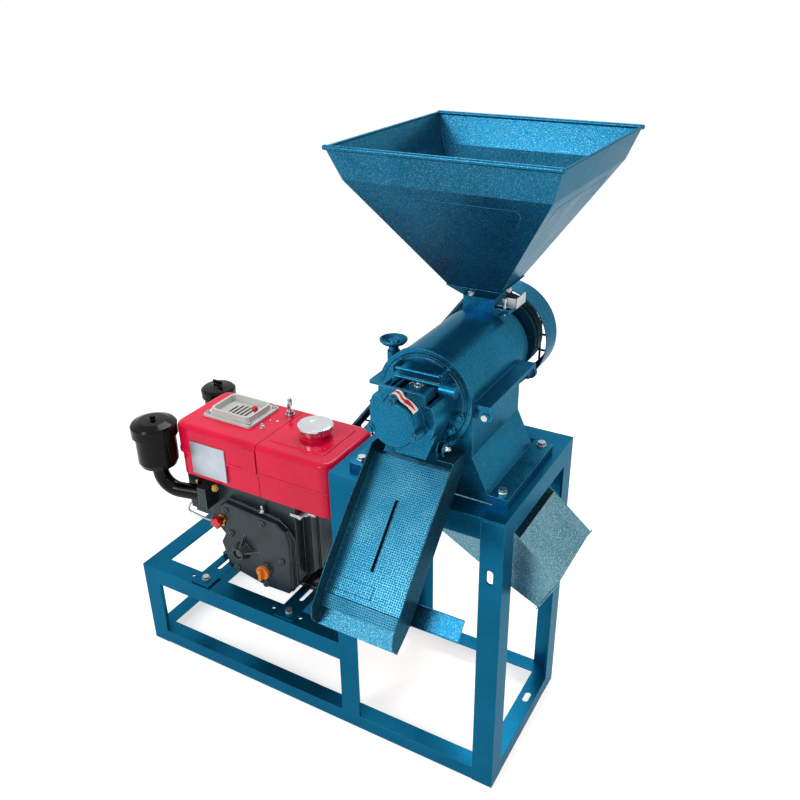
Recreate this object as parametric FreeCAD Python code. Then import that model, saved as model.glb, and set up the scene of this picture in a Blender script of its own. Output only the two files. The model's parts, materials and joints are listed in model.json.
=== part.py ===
import FreeCAD, Part
import math
import os

# Diesel powered rice huller on a stepped angle-iron frame, in millimetres.
# Everything is laid out from the outer corner of the near right leg, on the floor:
# the machine runs from there to -X and +Y. At the end the whole machine is moved so
# that the origin is on the floor below the middle of its overall box.

V = FreeCAD.Vector
NEAR_CORNER_X = 471.0
NEAR_CORNER_Y = -158.8

# Frame
FRAME_LENGTH = 1030.0
FRAME_DEPTH = 386.0
ENGINE_DECK = 254.0
HULLER_DECK = 728.0
STAND_LENGTH = 402.0
ANGLE = 50.0
ANGLE_WALL = 5.0
BASE_ANGLE = 40.0
BASE_WALL = 4.0
BASE_CLEAR = 2.0
MOUNT_RAIL_WIDTH = 56.0
MOUNT_RAIL_DROP = 30.0
MOUNT_SLOT = (76.0, 166.0)
MOUNT_SLOT_WIDTH = 13.0
RAIL_BOLT_INSET = 29.0
SPARE_HOLE_R = 5.0
LEG_SLOT_X = -27.0
LEG_SLOT_Z = 592.0
LEG_SLOT = (15.0, 35.0)

# Fasteners: M10 hexagon bolts with washers
BOLT_R = 5.0
BOLT_HOLE_R = 5.5
BOLT_HEAD_R = 9.2
BOLT_HEAD = 6.4
WASHER_R = 10.5
WASHER = 2.0
NUT = 8.0

# Running fits
RUN_FIT = 0.05
FREE_GAP = 0.3
SEAM = 2.0

# Huller: the shaft line and the round milling chamber
SHAFT_X = -195.0
SHAFT_Z = 935.0
SHAFT_R = 15.0
CHAMBER_R = 97.0
CHAMBER_WALL = 8.0
SPLIT_DROP = 5.0
CHAMBER_FRONT = 54.0
CHAMBER_REAR = 285.0
RING_R = 101.0
RING_FRONT = 40.0
END_PLATE_R = 90.5
RING_FIT = 1.5
END_PLATE = 18.0
END_BOLT_CIRCLE_R = 80.0
END_HOLE_R = 72.0
FLANGE_REACH = 35.0
FLANGE = 8.0
BASE_FOOT = 18.0
FOOT_OUTER = 177.5
FOOT_INNER = 134.0
FOOT_REAR = 306.0
LEFT_FOOT_FRONT = 30.0
WALL_BEND_Z = 822.0
BASE_BOLTS = ((-39.5, 76.0), (-39.5, 288.0), (-350.5, 52.0), (-350.5, 288.0))
HINGE_X = -72.0
HINGE_Z = 917.0
HINGE_PIN_R = 4.0
LUG_R = 13.0
LUG = 8.0
SCREEN_R = 72.0
SCREEN_WALL = 1.5
LEDGE = 15.0
KNIFE_THICKNESS = 6.0
ROTOR_R = 54.0
RIB_R = 61.0
KNIFE_GAP = 1.0
NOSE_R = 28.0
NOSE_FRONT = -34.0
DRUM_R = 69.0
DRUM_WALL = 8.0
DRUM_FRONT = -48.0
DRUM_SIDE_Z = 967.0
DRUM_TOP_Z = 989.0
DRUM_LID_Z = 966.0
DRUM_LID = 4.0
DRUM_SLOT = (SHAFT_X - 36, SHAFT_X - 22)
DRUM_TOP_HALF = 49.0
DRUM_TOP_REAR = -10.0
OUTLET_HALF = 33.0
OUTLET_HIGH_HALF = 58.0
OUTLET_FRONT = -16.0
OUTLET_LOW = 834.0
BOSS_R = 45.0
BOSS_FRONT = -78.0
BEARING_R = 31.0
BEARING_WIDTH = 16.0
CAP_R = 46.0
CAP_FRONT = -86.0
CAP_BOLT_CIRCLE_R = 48.0
CAP_BOLT_ANGLES = (92.0, 200.0, 342.0)
CAP_LUG_R = 9.0
GATE_HALF = 48.0
GATE_Y = 15.0
GATE_TOP_Z = 999.0
GATE_LOW_Z = 979.0
GATE_ROD_R = 3.5
GATE_EAR = 6.0
GRIP_R = 12.0
GRIP_LENGTH = 32.0
HANDWHEEL_X = -290.0
HANDWHEEL_Y = 90.0
HANDWHEEL_R = 28.0
HANDWHEEL_Z = 1010.0

# Feed box, neck and hopper
FEED_R = 88.0
FEED_REAR = 350.0
NECK_X = -198.0
NECK_Y = 320.0
THROAT_HALF = 35.0
THROAT_WALL = 4.0
THROAT_TOP = 1059.0
THROAT_FRONT_WALL = 10.0
COLLAR_TOP = 1086.0
COLLAR_HALF = 63.0
RIM_HALF = 232.0
HOPPER_RISE = 291.0
RIM_Z = COLLAR_TOP + HOPPER_RISE
BAND_HEIGHT = 62.0
BAND_INSET = 22.0
HOPPER_FOOT_HALF = 56.0
SHEET = 2.0
RIM_BEAD_R = 5.0
RIM_FOLD_R = 3.0
GATE_SLOT_Z = 1043.0
GATE_THICKNESS = 2.0
GATE_SCREW_Y = 291.5
GATE_SCREW_R = 3.0
GATE_HEAD_R = 6.0

# Belt drive behind the frame
GUARD_STANDOFF = 5.0
GUARD_FRONT = FRAME_DEPTH + GUARD_STANDOFF
PULLEY_FRONT = GUARD_FRONT + 6.0
PULLEY_WIDTH = 40.0
HULLER_PULLEY_R = 88.0
ENGINE_PULLEY_R = 62.0
BELT_TOP = 13.0
BELT_DEPTH = 10.0
BELT_SPACING = 19.0
GROOVE_LEAN = 3.5
GUARD_WIDTH = 62.0
GUARD_R = 115.0
GUARD_ENGINE_R = 90.0
GUARD_SHEET = 2.0
MESH_PITCH = 38.0
MESH_BAR = 5.0
MESH_RIM = 8.0
MESH_SHEET = 1.5

# Engine, placed by the middle of its feet
ENGINE_X = -(FRAME_LENGTH + STAND_LENGTH) / 2 + 16.0
FEET_SPACING = 266.0
MOUNT_RAIL_X = (ENGINE_X + FEET_SPACING / 2, ENGINE_X - FEET_SPACING / 2)
SPARE_HOLES_X = (ENGINE_X - 176.0, ENGINE_X + 86.0, ENGINE_X + 167.0)
FOOT_INSET = 146.0
FOOT_TOP_RISE = 14.0
CRANK_X = ENGINE_X + 52.0
CRANK_Z = 392.0
CRANK_R = 20.0
ENGINE_FRONT = 62.0
ENGINE_REAR = 266.0
BODY_LEFT = ENGINE_X - 205.0
BODY_SEAM = ENGINE_X + 48.0
BODY_RIGHT = ENGINE_X + 253.0
BODY_BOTTOM = 547.0
BODY_RIDGE = 618.0
BODY_TOP = 690.0
BODY_CORNER_R = 28.0
BODY_SOFT_R = 13.0
SKIRT_INSET = 4.0
COVER_FRONT = 60.0
CASE_FRONT = 86.0
CASE_REAR = 262.0
CASE_LEFT = ENGINE_X - 135.0
FLYWHEEL_R = 122.0
FLYWHEEL = (288.0, 334.0)
START_X = ENGINE_X - 22.0
START_Z = 371.0
START_R = 9.0
CAM_R = 14.0
CAM_REAR = 240.0
CAM_GEAR_R = 50.0
CRANK_GEAR_R = 25.0
GEAR_Y = (92.0, 104.0)
OIL_X = ENGINE_X + 43.0
OIL_Z = 330.0
OIL_R = 18.0
OIL_NECK_R = 12.0
CAP_X = ENGINE_X + 145.0
CAP_Y = 172.0
TANK_CAP_R = 43.0
TANK_CROWN = 2.5
TANK_NECK_R = 36.0
NECK_RISE = 14.0
GRILLE_X = ENGINE_X - 86.0
GRILLE_Y = 182.0
GRILLE_LENGTH = 147.0
GRILLE_DEPTH = 122.0
WELL_R = 36.0
FLOAT_OFFSET = 44.0
FLOAT_R = 8.0
HEAD_LEFT = ENGINE_X - 203.0
PORT_X = ENGINE_X - 138.0
MUFFLER_X = ENGINE_X - 250.0
MUFFLER_Y = 43.0
MUFFLER_R = 57.0
MUFFLER_Z = (566.0, 696.0)
CLEANER_X = ENGINE_X - 254.0
CLEANER_Y = 288.0
CLEANER_R = 46.0
CLEANER_Z = (594.0, 680.0)
KNOB_X = ENGINE_X - 90.0
KNOB_Z = 438.0
TAP_X = ENGINE_X + 160.0
TAP_Y = 92.0
EXHAUST_R = 20.0
INTAKE_R = 17.0
PIPE_R = 3.0

# Rice tray under the outlet, leaning forward and down
TRAY_LEFT = -292.0
TRAY_RIGHT = -111.0
TRAY_TOP_Y = 28.0
TRAY_TOP_Z = 800.0
TRAY_TILT = 46.0
TRAY_LENGTH = 362.0
TRAY_WALL_HIGH = 48.0
TRAY_DEEP = 16.0
TRAY_SHEET = 1.5

# Bran chute under the milling chamber, leading out to the right
BRAN_FRONT = 93.0
BRAN_REAR = 293.0


def box(x0, x1, y0, y1, z0, z1):
    return Part.makeBox(x1 - x0, y1 - y0, z1 - z0, V(x0, y0, z0))


def rod_x(x0, x1, y, z, r):
    return Part.makeCylinder(r, x1 - x0, V(x0, y, z), V(1, 0, 0))


def rod_y(y0, y1, x, z, r):
    return Part.makeCylinder(r, y1 - y0, V(x, y0, z), V(0, 1, 0))


def rod_z(z0, z1, x, y, r):
    return Part.makeCylinder(r, z1 - z0, V(x, y, z0), V(0, 0, 1))


def cone_y(y0, y1, x, z, r0, r1):
    return Part.makeCone(r0, r1, y1 - y0, V(x, y0, z), V(0, 1, 0))


def soft_disc(y0, y1, x, z, r, soft=2.0):
    """A disc with its front edge broken."""
    return cone_y(y0, y0 + soft, x, z, r - soft, r).fuse(rod_y(y0 + soft, y1, x, z, r))


def profile_y(points, y0, y1):
    """A flat outline of (x, z) points, made y0 to y1 thick."""
    wire = Part.makePolygon([V(x, y0, z) for x, z in points] + [V(points[0][0], y0, points[0][1])])
    return Part.Face(wire).extrude(V(0, y1 - y0, 0))


def profile_x(points, x0, x1):
    """A flat outline of (y, z) points, made x0 to x1 thick."""
    wire = Part.makePolygon([V(x0, y, z) for y, z in points] + [V(x0, points[0][0], points[0][1])])
    return Part.Face(wire).extrude(V(x1 - x0, 0, 0))


def joined(shapes):
    return shapes[0].fuse(shapes[1:]).removeSplitter() if len(shapes) > 1 else shapes[0]


def turned(points, centre, direction):
    """A solid of revolution from (radius, height) points about a line through centre."""
    axis = V(*direction)
    side = V(1, 0, 0) if abs(axis.x) < 0.5 else V(0, 0, 1)
    c = V(*centre)
    loop = [c + side * r + axis * h for r, h in points]
    return Part.Face(Part.makePolygon(loop + [loop[0]])).revolve(c, axis, 360)


def rounded_edges(solid, radius, test):
    """Rounds the edges whose middle passes the test."""
    edges = [e for e in solid.Edges if test(e)]
    return solid.makeFillet(radius, edges) if edges else solid


def upright(edge):
    box_of = edge.BoundBox
    return box_of.ZLength > 1.0 and box_of.XLength < 0.01 and box_of.YLength < 0.01


def slot_z(x, y0, y1, width, z0, z1):
    """A slot cutter through a level plate, running along Y."""
    r = width / 2.0
    return joined([box(x - r, x + r, y0 + r, y1 - r, z0, z1),
                   rod_z(z0, z1, x, y0 + r, r), rod_z(z0, z1, x, y1 - r, r)])


def bent_tube(points, radius, bend):
    """A round bar along straight runs joined by tangent arcs of one radius."""
    nodes = [V(*p) for p in points]
    edges = []
    start = nodes[0]
    for i in range(1, len(nodes) - 1):
        before = (nodes[i - 1] - nodes[i]).normalize()
        after = (nodes[i + 1] - nodes[i]).normalize()
        half = before.getAngle(after) / 2.0
        cut = bend / math.tan(half)
        first = nodes[i] + before * cut
        last = nodes[i] + after * cut
        middle = (before + after).normalize()
        centre = nodes[i] + middle * (bend / math.sin(half))
        edges.append(Part.LineSegment(start, first).toShape())
        edges.append(Part.Arc(first, centre - middle * bend, last).toShape())
        start = last
    edges.append(Part.LineSegment(start, nodes[-1]).toShape())
    path = Part.Wire(edges)
    section = Part.Wire([Part.makeCircle(radius, nodes[0], nodes[1] - nodes[0])])
    return path.makePipeShell([section], True, True)


def pyramid_shell(levels, wall):
    """An open square funnel round the neck through (half width, height) levels."""
    def skin(inset):
        rings = []
        for half, z in levels:
            h = half - inset
            rings.append(Part.makePolygon([V(NECK_X + sx * h, NECK_Y + sy * h, z)
                                           for sx, sy in ((-1, -1), (1, -1), (1, 1), (-1, 1), (-1, -1))]))
        return Part.makeLoft(rings, True, True)
    return skin(0.0).cut(skin(wall))


# Frame pieces

def angle_leg(corner_x, corner_y, to_x, to_y, z0, z1):
    """An upright angle with its outer corner at (corner_x, corner_y)."""
    def span(a, length, direction):
        return (a, a + length * direction) if direction > 0 else (a - length, a)
    wide_x = span(corner_x, ANGLE, to_x)
    wall_x = span(corner_x, ANGLE_WALL, to_x)
    wide_y = span(corner_y, ANGLE, to_y)
    wall_y = span(corner_y, ANGLE_WALL, to_y)
    return joined([box(*wide_x, *wall_y, z0, z1), box(*wall_x, *wide_y, z0, z1)])


def legs():
    top = HULLER_DECK - ANGLE_WALL
    low_top = ENGINE_DECK - ANGLE_WALL
    made = {
        "front_right_leg": angle_leg(0, 0, -1, 1, 0, top),
        "rear_right_leg": angle_leg(0, FRAME_DEPTH, -1, -1, 0, top),
        "front_middle_leg": angle_leg(-STAND_LENGTH, 0, 1, 1, BASE_ANGLE, top),
        "rear_middle_leg": angle_leg(-STAND_LENGTH, FRAME_DEPTH, 1, -1, BASE_ANGLE, top),
        "front_left_leg": angle_leg(-FRAME_LENGTH, 0, 1, 1, 0, low_top),
        "rear_left_leg": angle_leg(-FRAME_LENGTH, FRAME_DEPTH, 1, -1, 0, low_top),
    }
    width, length = LEG_SLOT
    r = width / 2.0
    cutter = joined([box(LEG_SLOT_X - r, LEG_SLOT_X + r, -1, ANGLE_WALL + 1,
                         LEG_SLOT_Z - length / 2 + r, LEG_SLOT_Z + length / 2 - r),
                     rod_y(-1, ANGLE_WALL + 1, LEG_SLOT_X, LEG_SLOT_Z - length / 2 + r, r),
                     rod_y(-1, ANGLE_WALL + 1, LEG_SLOT_X, LEG_SLOT_Z + length / 2 - r, r)])
    made["front_right_leg"] = made["front_right_leg"].cut(cutter)
    return made


def rail_ring(x0, x1, width, wall, top, bottom):
    """Four rails with a level flange on top and an upright flange outside, between the legs."""
    y1 = FRAME_DEPTH
    ring = box(x0, x1, 0, y1, top - wall, top).cut(
        box(x0 + width, x1 - width, width, y1 - width, top - wall - 1, top + 1))
    sides = [box(x0 + ANGLE, x1 - ANGLE, 0, wall, bottom, top - wall),
             box(x0 + ANGLE, x1 - ANGLE, y1 - wall, y1, bottom, top - wall),
             box(x0, x0 + wall, ANGLE, y1 - ANGLE, bottom, top - wall),
             box(x1 - wall, x1, ANGLE, y1 - ANGLE, bottom, top - wall)]
    return joined([ring] + sides)


def base_rails(leg_shapes):
    ring = rail_ring(-FRAME_LENGTH, 0, BASE_ANGLE, BASE_WALL, BASE_ANGLE, BASE_CLEAR)
    for name in ("front_right_leg", "rear_right_leg", "front_left_leg", "rear_left_leg"):
        ring = ring.cut(leg_shapes[name])
    middle = FRAME_DEPTH * 2 / 3
    for x in (-BASE_ANGLE / 2, -FRAME_LENGTH + BASE_ANGLE / 2):
        ring = ring.cut(slot_z(x, middle - LEG_SLOT[1] / 2, middle + LEG_SLOT[1] / 2,
                               LEG_SLOT[0], BASE_ANGLE - BASE_WALL - 1, BASE_ANGLE + 1))
    return ring


def engine_deck_rails():
    x0, x1 = -FRAME_LENGTH, -STAND_LENGTH
    top, low = ENGINE_DECK - ANGLE_WALL, ENGINE_DECK - ANGLE
    flange = box(x0, x1, 0, FRAME_DEPTH, top, ENGINE_DECK).cut(
        box(x0 + ANGLE, x1 + 1, ANGLE, FRAME_DEPTH - ANGLE, top - 1, ENGINE_DECK + 1))
    walls = [box(x0 + ANGLE, x1, 0, ANGLE_WALL, low, top),
             box(x0 + ANGLE, x1, FRAME_DEPTH - ANGLE_WALL, FRAME_DEPTH, low, top),
             box(x0, x0 + ANGLE_WALL, ANGLE, FRAME_DEPTH - ANGLE, low, top)]
    rails = joined([flange] + walls)
    holes = []
    for y in (RAIL_BOLT_INSET, FRAME_DEPTH - RAIL_BOLT_INSET):
        holes += [rod_z(top - 1, ENGINE_DECK + 1, x, y, BOLT_HOLE_R) for x in MOUNT_RAIL_X]
    holes += [rod_z(top - 1, ENGINE_DECK + 1, x, RAIL_BOLT_INSET, SPARE_HOLE_R) for x in SPARE_HOLES_X]
    return rails.cut(holes)


def huller_deck_rails():
    ring = rail_ring(-STAND_LENGTH, 0, ANGLE, ANGLE_WALL, HULLER_DECK, HULLER_DECK - ANGLE)
    top = HULLER_DECK - ANGLE_WALL
    return ring.cut([rod_z(top - 1, HULLER_DECK + 1, x, y, BOLT_HOLE_R) for x, y in BASE_BOLTS])


def mount_rail_top():
    return ENGINE_DECK + ANGLE_WALL


def engine_mount_rails():
    rails = []
    half = MOUNT_RAIL_WIDTH / 2
    for x in MOUNT_RAIL_X:
        flat = box(x - half, x + half, 4, FRAME_DEPTH - 4, ENGINE_DECK, mount_rail_top())
        web = box(x + half - ANGLE_WALL, x + half, ANGLE + 2, FRAME_DEPTH - ANGLE - 2,
                  ENGINE_DECK - MOUNT_RAIL_DROP, ENGINE_DECK)
        rail = joined([flat, web])
        near = MOUNT_SLOT
        far = (FRAME_DEPTH - near[1], FRAME_DEPTH - near[0])
        cuts = [slot_z(x, a, b, MOUNT_SLOT_WIDTH, ENGINE_DECK - 1, mount_rail_top() + 1) for a, b in (near, far)]
        cuts += [rod_z(ENGINE_DECK - 1, mount_rail_top() + 1, x, y, BOLT_HOLE_R)
                 for y in (RAIL_BOLT_INSET, FRAME_DEPTH - RAIL_BOLT_INSET)]
        rails.append(rail.cut(cuts))
    return Part.makeCompound(rails)


# Huller

def split_z():
    return SHAFT_Z - SPLIT_DROP


def stand_outline(inset):
    """Front outline of the cast stand: flared skirt, upright cheeks and, without inset, feet."""
    cheek = CHAMBER_R + 1.0 - inset
    foot = FOOT_INNER - inset
    top = split_z() - FLANGE
    low = HULLER_DECK
    if inset:
        return [(SHAFT_X - foot, low - 1), (SHAFT_X + foot, low - 1), (SHAFT_X + foot, low + BASE_FOOT),
                (SHAFT_X + cheek, WALL_BEND_Z), (SHAFT_X + cheek, top + FLANGE + 1),
                (SHAFT_X - cheek, top + FLANGE + 1), (SHAFT_X - cheek, WALL_BEND_Z),
                (SHAFT_X - foot, low + BASE_FOOT)]
    return [(SHAFT_X - foot, low), (SHAFT_X + foot, low), (SHAFT_X + foot, low + BASE_FOOT),
            (SHAFT_X + cheek, WALL_BEND_Z), (SHAFT_X + cheek, top + FLANGE),
            (SHAFT_X - cheek, top + FLANGE), (SHAFT_X - cheek, WALL_BEND_Z), (SHAFT_X - foot, low + BASE_FOOT)]


def huller_base():
    shell = profile_y(stand_outline(0.0), CHAMBER_FRONT, CHAMBER_REAR)
    inner = profile_y(stand_outline(CHAMBER_WALL), CHAMBER_FRONT + CHAMBER_WALL, CHAMBER_REAR - CHAMBER_WALL)
    shell = shell.cut(inner)
    parts = [shell, half_ring(False)] + screen_ledges() + base_feet() + hinge_ribs()
    base = joined(parts)
    base = base.cut([rod_y(CHAMBER_FRONT - 1, CHAMBER_REAR + 1, SHAFT_X, SHAFT_Z, END_HOLE_R),
                     rod_y(CHAMBER_FRONT - 1, CHAMBER_REAR + 1, HINGE_X, HINGE_Z, HINGE_PIN_R + RUN_FIT)])
    low, high = HULLER_DECK - 1, HULLER_DECK + BASE_FOOT + 1
    return base.cut([rod_z(low, high, x, y, BOLT_HOLE_R) for x, y in BASE_BOLTS])


def screen_ledges():
    """Inner ledges just below the split, which carry the screen's side strips."""
    reach = CHAMBER_R + 1.0 - CHAMBER_WALL
    y0, y1 = CHAMBER_FRONT + CHAMBER_WALL, CHAMBER_REAR - CHAMBER_WALL
    z0, z1 = split_z() - FLANGE, split_z()
    return [box(SHAFT_X + reach - LEDGE, SHAFT_X + reach, y0, y1, z0, z1),
            box(SHAFT_X - reach, SHAFT_X - reach + LEDGE, y0, y1, z0, z1)]


def base_feet():
    low, high = HULLER_DECK, HULLER_DECK + BASE_FOOT
    right = box(SHAFT_X + FOOT_INNER, SHAFT_X + FOOT_OUTER, CHAMBER_FRONT, FOOT_REAR, low, high)
    left = box(SHAFT_X - FOOT_OUTER, SHAFT_X - FOOT_INNER, LEFT_FOOT_FRONT, FOOT_REAR, low, high)
    left = rounded_edges(left, 10.0, lambda e: upright(e) and e.BoundBox.YMin < LEFT_FOOT_FRONT + 1)
    right = rounded_edges(right, 8.0, lambda e: upright(e) and e.BoundBox.XMin > SHAFT_X + FOOT_OUTER - 1
                          and e.BoundBox.YMin > FOOT_REAR - 1)
    return [left, right]


def hinge_ribs():
    x0 = SHAFT_X + CHAMBER_R + 1.0
    low = HINGE_Z - LUG_R + 1
    return [box(x0, x0 + 26, y, y + LUG, low, split_z() - 1.0) for y in hinge_rib_places()]


def half_ring(upper):
    """Upper or lower half of the raised ring round the end plate."""
    z0, z1 = SHAFT_Z - 200, SHAFT_Z + 200
    away = (z0, split_z()) if upper else (split_z(), z1)
    return rod_y(RING_FRONT, CHAMBER_FRONT, SHAFT_X, SHAFT_Z, RING_R).cut(
        [rod_y(RING_FRONT - 1, CHAMBER_FRONT + 1, SHAFT_X, SHAFT_Z, END_PLATE_R + RING_FIT),
         box(SHAFT_X - 200, SHAFT_X + 200, RING_FRONT - 1, CHAMBER_FRONT + 1, *away)])


def hinge_rib_places():
    return (CHAMBER_FRONT + LUG + FREE_GAP, CHAMBER_REAR - 2 * LUG - FREE_GAP)


def hinge_pins():
    front = CHAMBER_FRONT - 3.0
    rear = CHAMBER_REAR + 3.0
    length = 2 * LUG + FREE_GAP + 3.0
    pins = []
    for y0, head_y in ((front, front - 4.0), (rear - length, rear)):
        pin = rod_y(y0, y0 + length, HINGE_X, HINGE_Z, HINGE_PIN_R)
        head = rod_y(head_y, head_y + 4.0, HINGE_X, HINGE_Z, 6.5)
        pins.append(joined([pin, head]))
    return Part.makeCompound(pins)


def milling_cover():
    outer = rod_y(CHAMBER_FRONT, CHAMBER_REAR, SHAFT_X, SHAFT_Z, CHAMBER_R)
    inner = rod_y(CHAMBER_FRONT - 1, CHAMBER_REAR + 1, SHAFT_X, SHAFT_Z, CHAMBER_R - CHAMBER_WALL)
    below = box(-400, 0, CHAMBER_FRONT - 1, CHAMBER_REAR + 1, SHAFT_Z - 200, split_z())
    shell = outer.cut([inner, below])
    z0 = split_z()
    reach = CHAMBER_R + FLANGE_REACH
    flange = box(SHAFT_X - reach, SHAFT_X + reach, CHAMBER_FRONT, CHAMBER_REAR, z0, z0 + FLANGE).cut(inner)
    lugs = []
    for y in (CHAMBER_FRONT, CHAMBER_REAR - LUG):
        lugs.append(joined([rod_y(y, y + LUG, HINGE_X, HINGE_Z, LUG_R),
                            box(HINGE_X - LUG_R, SHAFT_X + reach, y, y + LUG, HINGE_Z, z0)]))
    boss = rod_z(z0, HANDWHEEL_Z - 14, HANDWHEEL_X, HANDWHEEL_Y, 13.0).cut(inner)
    cover = joined([shell, flange, half_ring(True), boss] + lugs)
    bores = [rod_y(CHAMBER_FRONT - 1, CHAMBER_REAR + 1, HINGE_X, HINGE_Z, HINGE_PIN_R + RUN_FIT),
             rod_z(HANDWHEEL_Z - 44, HANDWHEEL_Z, HANDWHEEL_X, HANDWHEEL_Y, 6.0 + RUN_FIT)]
    return cover.cut(bores)


def clamp_handwheel():
    """Dished hand nut on the screw at the left front of the chamber."""
    z = HANDWHEEL_Z
    r = HANDWHEEL_R
    outline = [(0, -3), (r - 14, -2), (r - 4, 3), (r, 8), (r, 11), (r - 3, 12), (r - 8, 7), (12, 4), (10, 9), (0, 9)]
    dish = turned(outline, (HANDWHEEL_X, HANDWHEEL_Y, z), (0, 0, 1))
    stem = rod_z(z - 42, z + 4, HANDWHEEL_X, HANDWHEEL_Y, 6.0)
    hub = rod_z(z - 14 + FREE_GAP, z + 2, HANDWHEEL_X, HANDWHEEL_Y, 10.0)
    return joined([dish, stem, hub])


def end_plate():
    """Round front plate of the chamber, with the ears that hold the outlet gate."""
    y0, y1 = CHAMBER_FRONT - END_PLATE, CHAMBER_FRONT
    plate = rod_y(y0 + 3, y1, SHAFT_X, SHAFT_Z, END_PLATE_R)
    face = rod_y(y0, y0 + 3, SHAFT_X, SHAFT_Z, END_PLATE_R - 6).cut(
        profile_y([(SHAFT_X - 70, SHAFT_Z + 45), (SHAFT_X + 70, SHAFT_Z + 45), (SHAFT_X + 44, SHAFT_Z + 74),
                   (SHAFT_X - 44, SHAFT_Z + 74)], y0 - 1, y0 + 3))
    ears = []
    for s in (-1, 1):
        near = SHAFT_X + s * (GATE_HALF + FREE_GAP)
        x0, x1 = min(near, near + s * GATE_EAR), max(near, near + s * GATE_EAR)
        ears.append(box(x0, x1, GATE_Y - 7, y0 + 3, GATE_TOP_Z - 7, GATE_TOP_Z + 7))
    whole = joined([plate, face] + ears)
    outlet = rod_y(y0 - 1, y1 + 1, SHAFT_X, SHAFT_Z, RIB_R + 2)
    outlet = outlet.cut(box(SHAFT_X - 90, SHAFT_X + 90, y0 - 2, y1 + 2, DRUM_LID_Z, SHAFT_Z + 90))
    bores = [outlet,
             rod_x(SHAFT_X - GATE_HALF - 20, SHAFT_X + GATE_HALF + 20, GATE_Y, GATE_TOP_Z, GATE_ROD_R + RUN_FIT)]
    heads = [rod_y(y0 - 5, y0, x, z, 6.5) for x, z in end_bolt_places()]
    return joined([whole.cut(bores)] + heads)


def end_bolt_places():
    places = []
    for angle in (-15.0, -42.0, 222.0, 195.0):
        a = math.radians(angle)
        places.append((SHAFT_X + END_BOLT_CIRCLE_R * math.cos(a), SHAFT_Z + END_BOLT_CIRCLE_R * math.sin(a)))
    return places


def bearing_housing():
    """Front casting: outlet drum, open on top, with a spout below and the bearing boss in front."""
    back = CHAMBER_FRONT - END_PLATE
    inside = DRUM_FRONT + DRUM_WALL
    drum = rod_y(DRUM_FRONT, back, SHAFT_X, SHAFT_Z, DRUM_R).cut(
        box(-400, 0, DRUM_FRONT - 1, back + 1, DRUM_SIDE_Z, SHAFT_Z + 200))
    crown = box(SHAFT_X - DRUM_TOP_HALF, SHAFT_X + DRUM_TOP_HALF, DRUM_FRONT, DRUM_TOP_REAR, SHAFT_Z, DRUM_TOP_Z)
    spout = spout_block(0.0, OUTLET_FRONT, back)
    boss = cone_y(BOSS_FRONT, DRUM_FRONT, SHAFT_X, SHAFT_Z, BOSS_R - 3, BOSS_R + 2)
    lugs = [rod_y(BOSS_FRONT, DRUM_FRONT, x, z, CAP_LUG_R) for x, z in cap_bolt_places()]
    casting = joined([drum, crown, spout, boss] + lugs)
    thin = DRUM_TOP_HALF - DRUM_WALL
    room = [rod_y(inside, back + 1, SHAFT_X, SHAFT_Z, DRUM_R - DRUM_WALL),
            box(SHAFT_X - thin, SHAFT_X + thin, inside, back + 1, SHAFT_Z, DRUM_TOP_Z + 1),
            spout_block(5.0, OUTLET_FRONT + 5, back - 5),
            rod_y(BOSS_FRONT - 1, BOSS_FRONT + BEARING_WIDTH + 5, SHAFT_X, SHAFT_Z, BEARING_R),
            rod_y(BOSS_FRONT - 1, inside + 1, SHAFT_X, SHAFT_Z, SHAFT_R + 1.5)]
    lid = box(SHAFT_X - thin - 1, SHAFT_X + thin + 1, inside - 1, back, DRUM_LID_Z, DRUM_LID_Z + DRUM_LID).cut(
        box(*DRUM_SLOT, inside + 6, back + 1, DRUM_LID_Z - 1, DRUM_LID_Z + DRUM_LID + 1))
    return joined([casting.cut(room), lid])


def spout_block(inset, y0, y1):
    """Tapered outlet below the drum; with an inset, the room inside it."""
    high, low = OUTLET_HIGH_HALF - inset, OUTLET_HALF - inset
    z1, z0 = SHAFT_Z - 36, OUTLET_LOW - (1 if inset else 0)
    return profile_y([(SHAFT_X - high, z1), (SHAFT_X - low, z0), (SHAFT_X + low, z0), (SHAFT_X + high, z1)], y0, y1)


def cap_bolt_places():
    places = []
    for angle in CAP_BOLT_ANGLES:
        a = math.radians(angle)
        places.append((SHAFT_X + CAP_BOLT_CIRCLE_R * math.cos(a), SHAFT_Z + CAP_BOLT_CIRCLE_R * math.sin(a)))
    return places


def bearing_cap():
    discs = [soft_disc(CAP_FRONT, BOSS_FRONT, SHAFT_X, SHAFT_Z, CAP_R)]
    discs += [soft_disc(CAP_FRONT, BOSS_FRONT, x, z, CAP_LUG_R) for x, z in cap_bolt_places()]
    heads = [rod_y(CAP_FRONT - 5, CAP_FRONT + 1, x, z, 5.0) for x, z in cap_bolt_places()]
    return joined(discs + heads)


def shaft_bearings():
    """Two deep groove ball bearings, each an outer and an inner ring joined by its ball cage."""
    rings = []
    for y0 in (BOSS_FRONT + 5.0, rear_bearing_y()):
        outer = rod_y(y0, y0 + BEARING_WIDTH, SHAFT_X, SHAFT_Z, BEARING_R)
        hole = rod_y(y0 - 1, y0 + BEARING_WIDTH + 1, SHAFT_X, SHAFT_Z, SHAFT_R + RUN_FIT)
        rings.append(outer.cut(hole))
    return Part.makeCompound(rings)


def rear_bearing_y():
    return FEED_REAR + 14.0


def rear_bearing_housing():
    y0 = FEED_REAR
    y1 = rear_bearing_y() + BEARING_WIDTH + 3
    body = joined([rod_y(y0, y0 + 9, SHAFT_X, SHAFT_Z, 62.0), cone_y(y0 + 9, y1, SHAFT_X, SHAFT_Z, 50.0, 45.0)])
    return body.cut([rod_y(rear_bearing_y(), y1 + 1, SHAFT_X, SHAFT_Z, BEARING_R),
                     rod_y(y0 - 1, y1 + 1, SHAFT_X, SHAFT_Z, SHAFT_R + 1.5)])


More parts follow.
